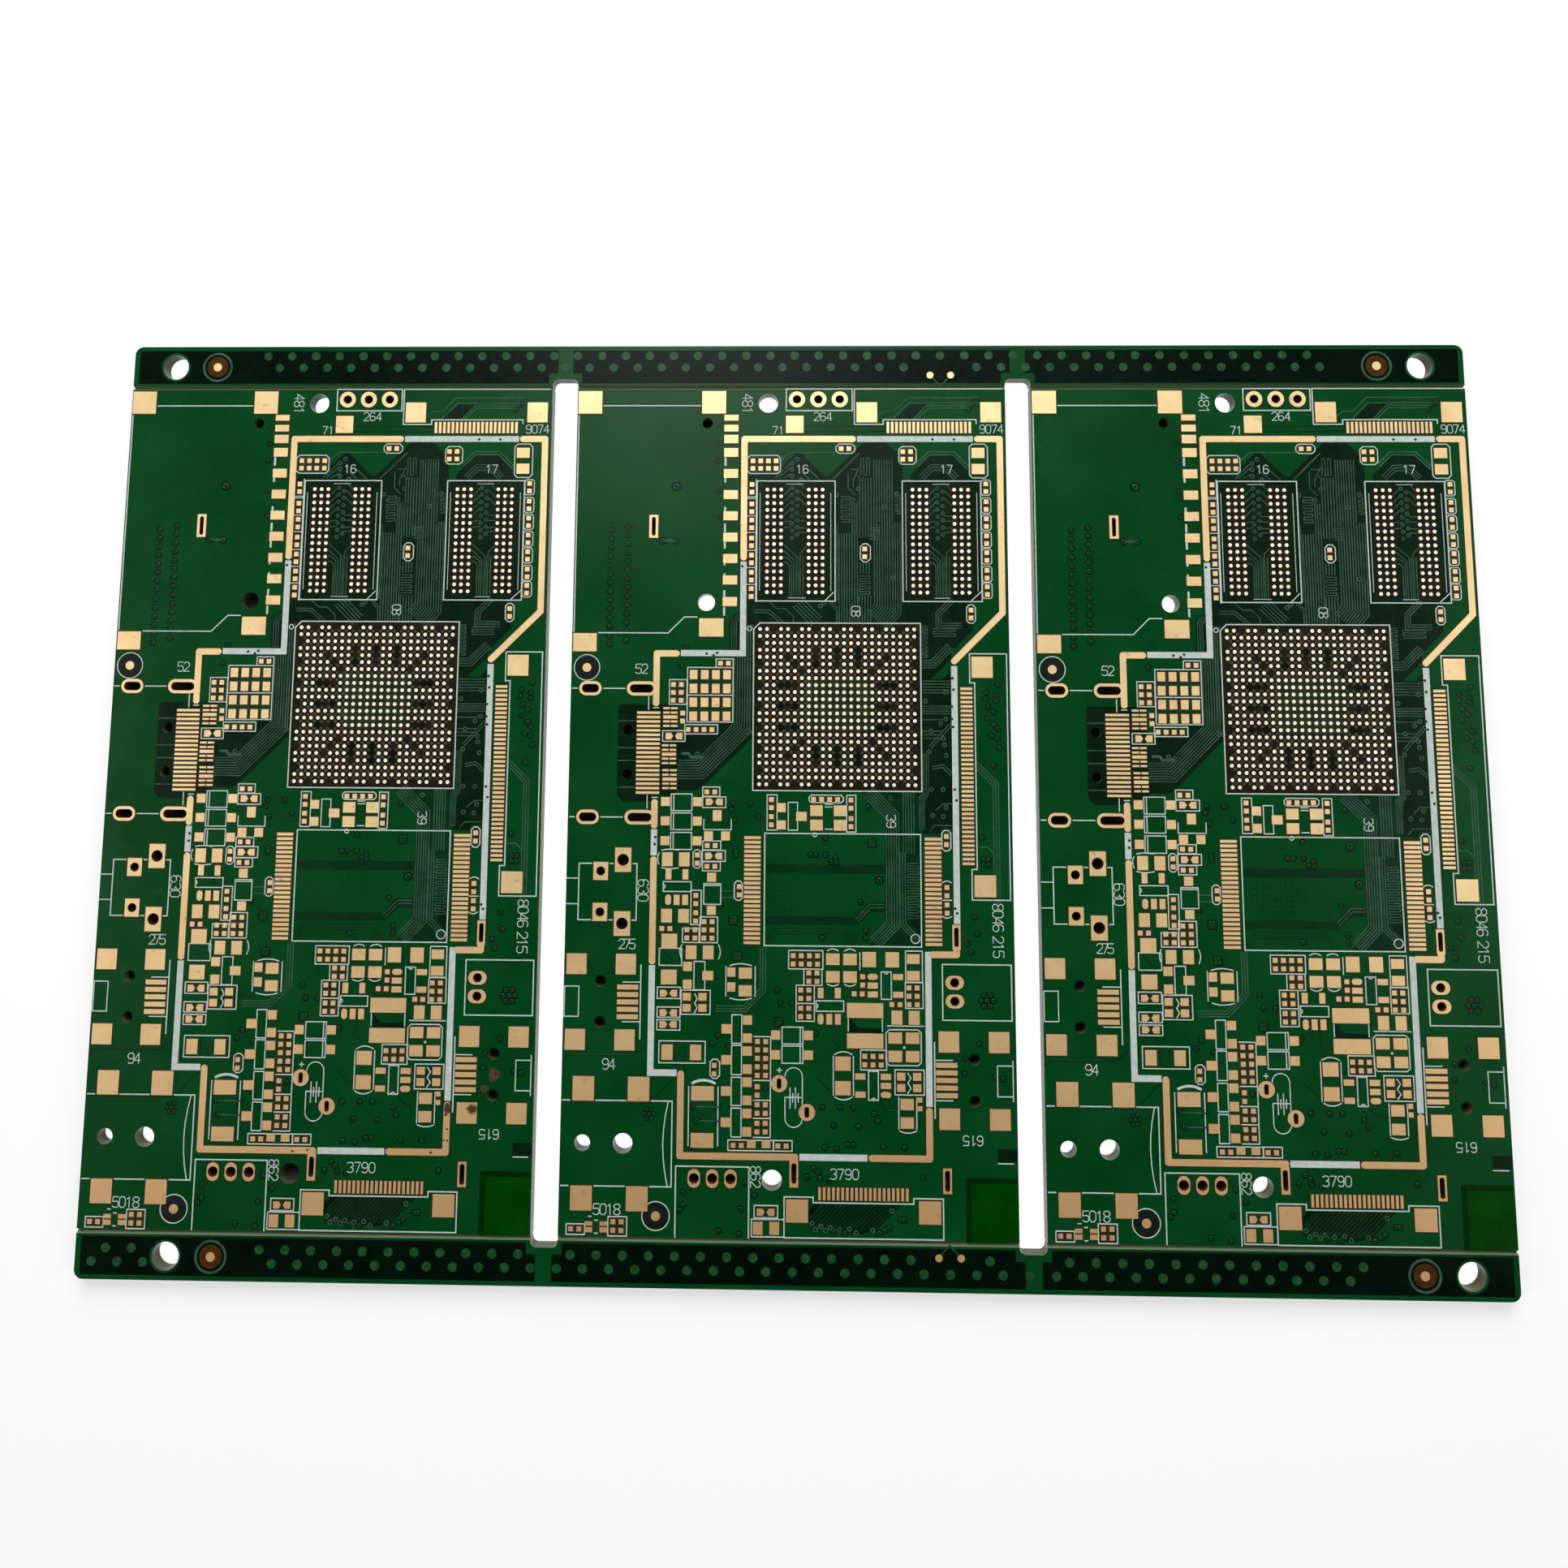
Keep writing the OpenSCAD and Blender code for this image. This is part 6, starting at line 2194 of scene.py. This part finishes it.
        for x, y in TOOLING_HOLES:
            glow = reckon(tree, "MAXIMUM", glow, self.near(tree, (place["X"], place["Y"]), (x, y), TOOLING_W))
        return glow

    def near(self, tree: Tree, place: tuple[Socket, Socket], middle: Point, across: float) -> Socket:
        """Find a round spot of the floor.

        Args:
            tree: Node tree of the floor's material.
            place: The two coordinates, in metres.
            middle: Middle of the spot, in mm.
            across: Its width, in mm.

        Returns:
            A socket that is 1 in the spot.
        """
        x = reckon(tree, "SUBTRACT", place[0], middle[0] * MM)
        y = reckon(tree, "SUBTRACT", place[1], middle[1] * MM)
        square = reckon(tree, "ADD", reckon(tree, "MULTIPLY", x, x), reckon(tree, "MULTIPLY", y, y))
        return reckon(tree, "LESS_THAN", square, ((0.5 * across + self.spill) * MM) ** 2)

    def world(self) -> None:
        """Set the even light from all round."""
        world = bpy.data.worlds.new("studio")
        world.use_nodes = True
        background = world.node_tree.nodes["Background"]
        background.inputs["Color"].default_value = (1.0, 1.0, 1.0, 1.0)
        background.inputs["Strength"].default_value = self.world_level
        bpy.context.scene.world = world

    def camera(self) -> None:
        """Place the camera."""
        lens = bpy.data.cameras.new("camera")
        lens.lens = self.lens
        lens.sensor_width = self.sensor
        lens.shift_x, lens.shift_y = self.shift
        lens.clip_start = self.clip
        forward = Vector(self.forward).normalized()
        right = forward.cross(Vector(self.up)).normalized()
        up = right.cross(forward)
        place = Matrix((right, up, -forward)).transposed().to_4x4()
        place.translation = Vector(self.eye) * MM
        holder = bpy.data.objects.new("camera", lens)
        holder.matrix_world = place
        bpy.context.scene.collection.objects.link(holder)
        bpy.context.scene.camera = holder


class Panel:
    """The whole panel: CAD nodes with their finishes, and the layers on the boards."""

    def __init__(self) -> None:
        """Model the unit shapes."""
        self.units = model_units(disc_sides=16, disc_taper=0.94)

    def dress_nodes(self) -> None:
        """Give every CAD node its finish."""
        panel, gold, ink, dots = PANEL.make(), GOLD.make(), INK.make(), DOT.make()
        balls, burnt = BALLS.make(), BURNT.make()
        dark = {"bare_mask": BARE.make(), "rail_mask": RAIL.make()}
        for name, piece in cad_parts.items():
            if name == "laminate_panel":
                material = panel
            elif name in dark:
                material = dark[name]
            elif name.endswith("ink_marks"):
                material = ink
            elif name == "rail_dots":
                material = dots
            elif name.endswith(("processor_lands", "memory_lands")):
                material = balls
            elif name.startswith("left_"):
                material = burnt
            else:
                material = gold
            piece.data.materials.clear()
            piece.data.materials.append(material)

    def dress_boards(self) -> None:
        """Add the thin layers to the three boards."""
        kinds: list[ZonePiece | Sheet] = [*Planes().dress()]
        for part in (Routing(), BallField(), Openings(), Legend(), Wear()):
            kinds.extend(part.dress(self.units))
        for kind in kinds:
            material = kind.finish.make()
            for board in Board:
                kind.finish_at(f"{board.name.lower()}_{kind.name}", board.origin(), material)
            LOG.info("%s on three boards", kind.name)


def main() -> None:
    """Build everything in order."""
    logging.basicConfig(level=logging.INFO, format="%(name)s: %(message)s")
    panel = Panel()
    panel.dress_nodes()
    SlotEnds().build()
    LOG.info("slots' ends cut flat")
    panel.dress_boards()
    Wear().stain()
    Rails().dress()
    LOG.info("rails dressed")
    Studio().build()


if __name__ == "__main__":
    main()
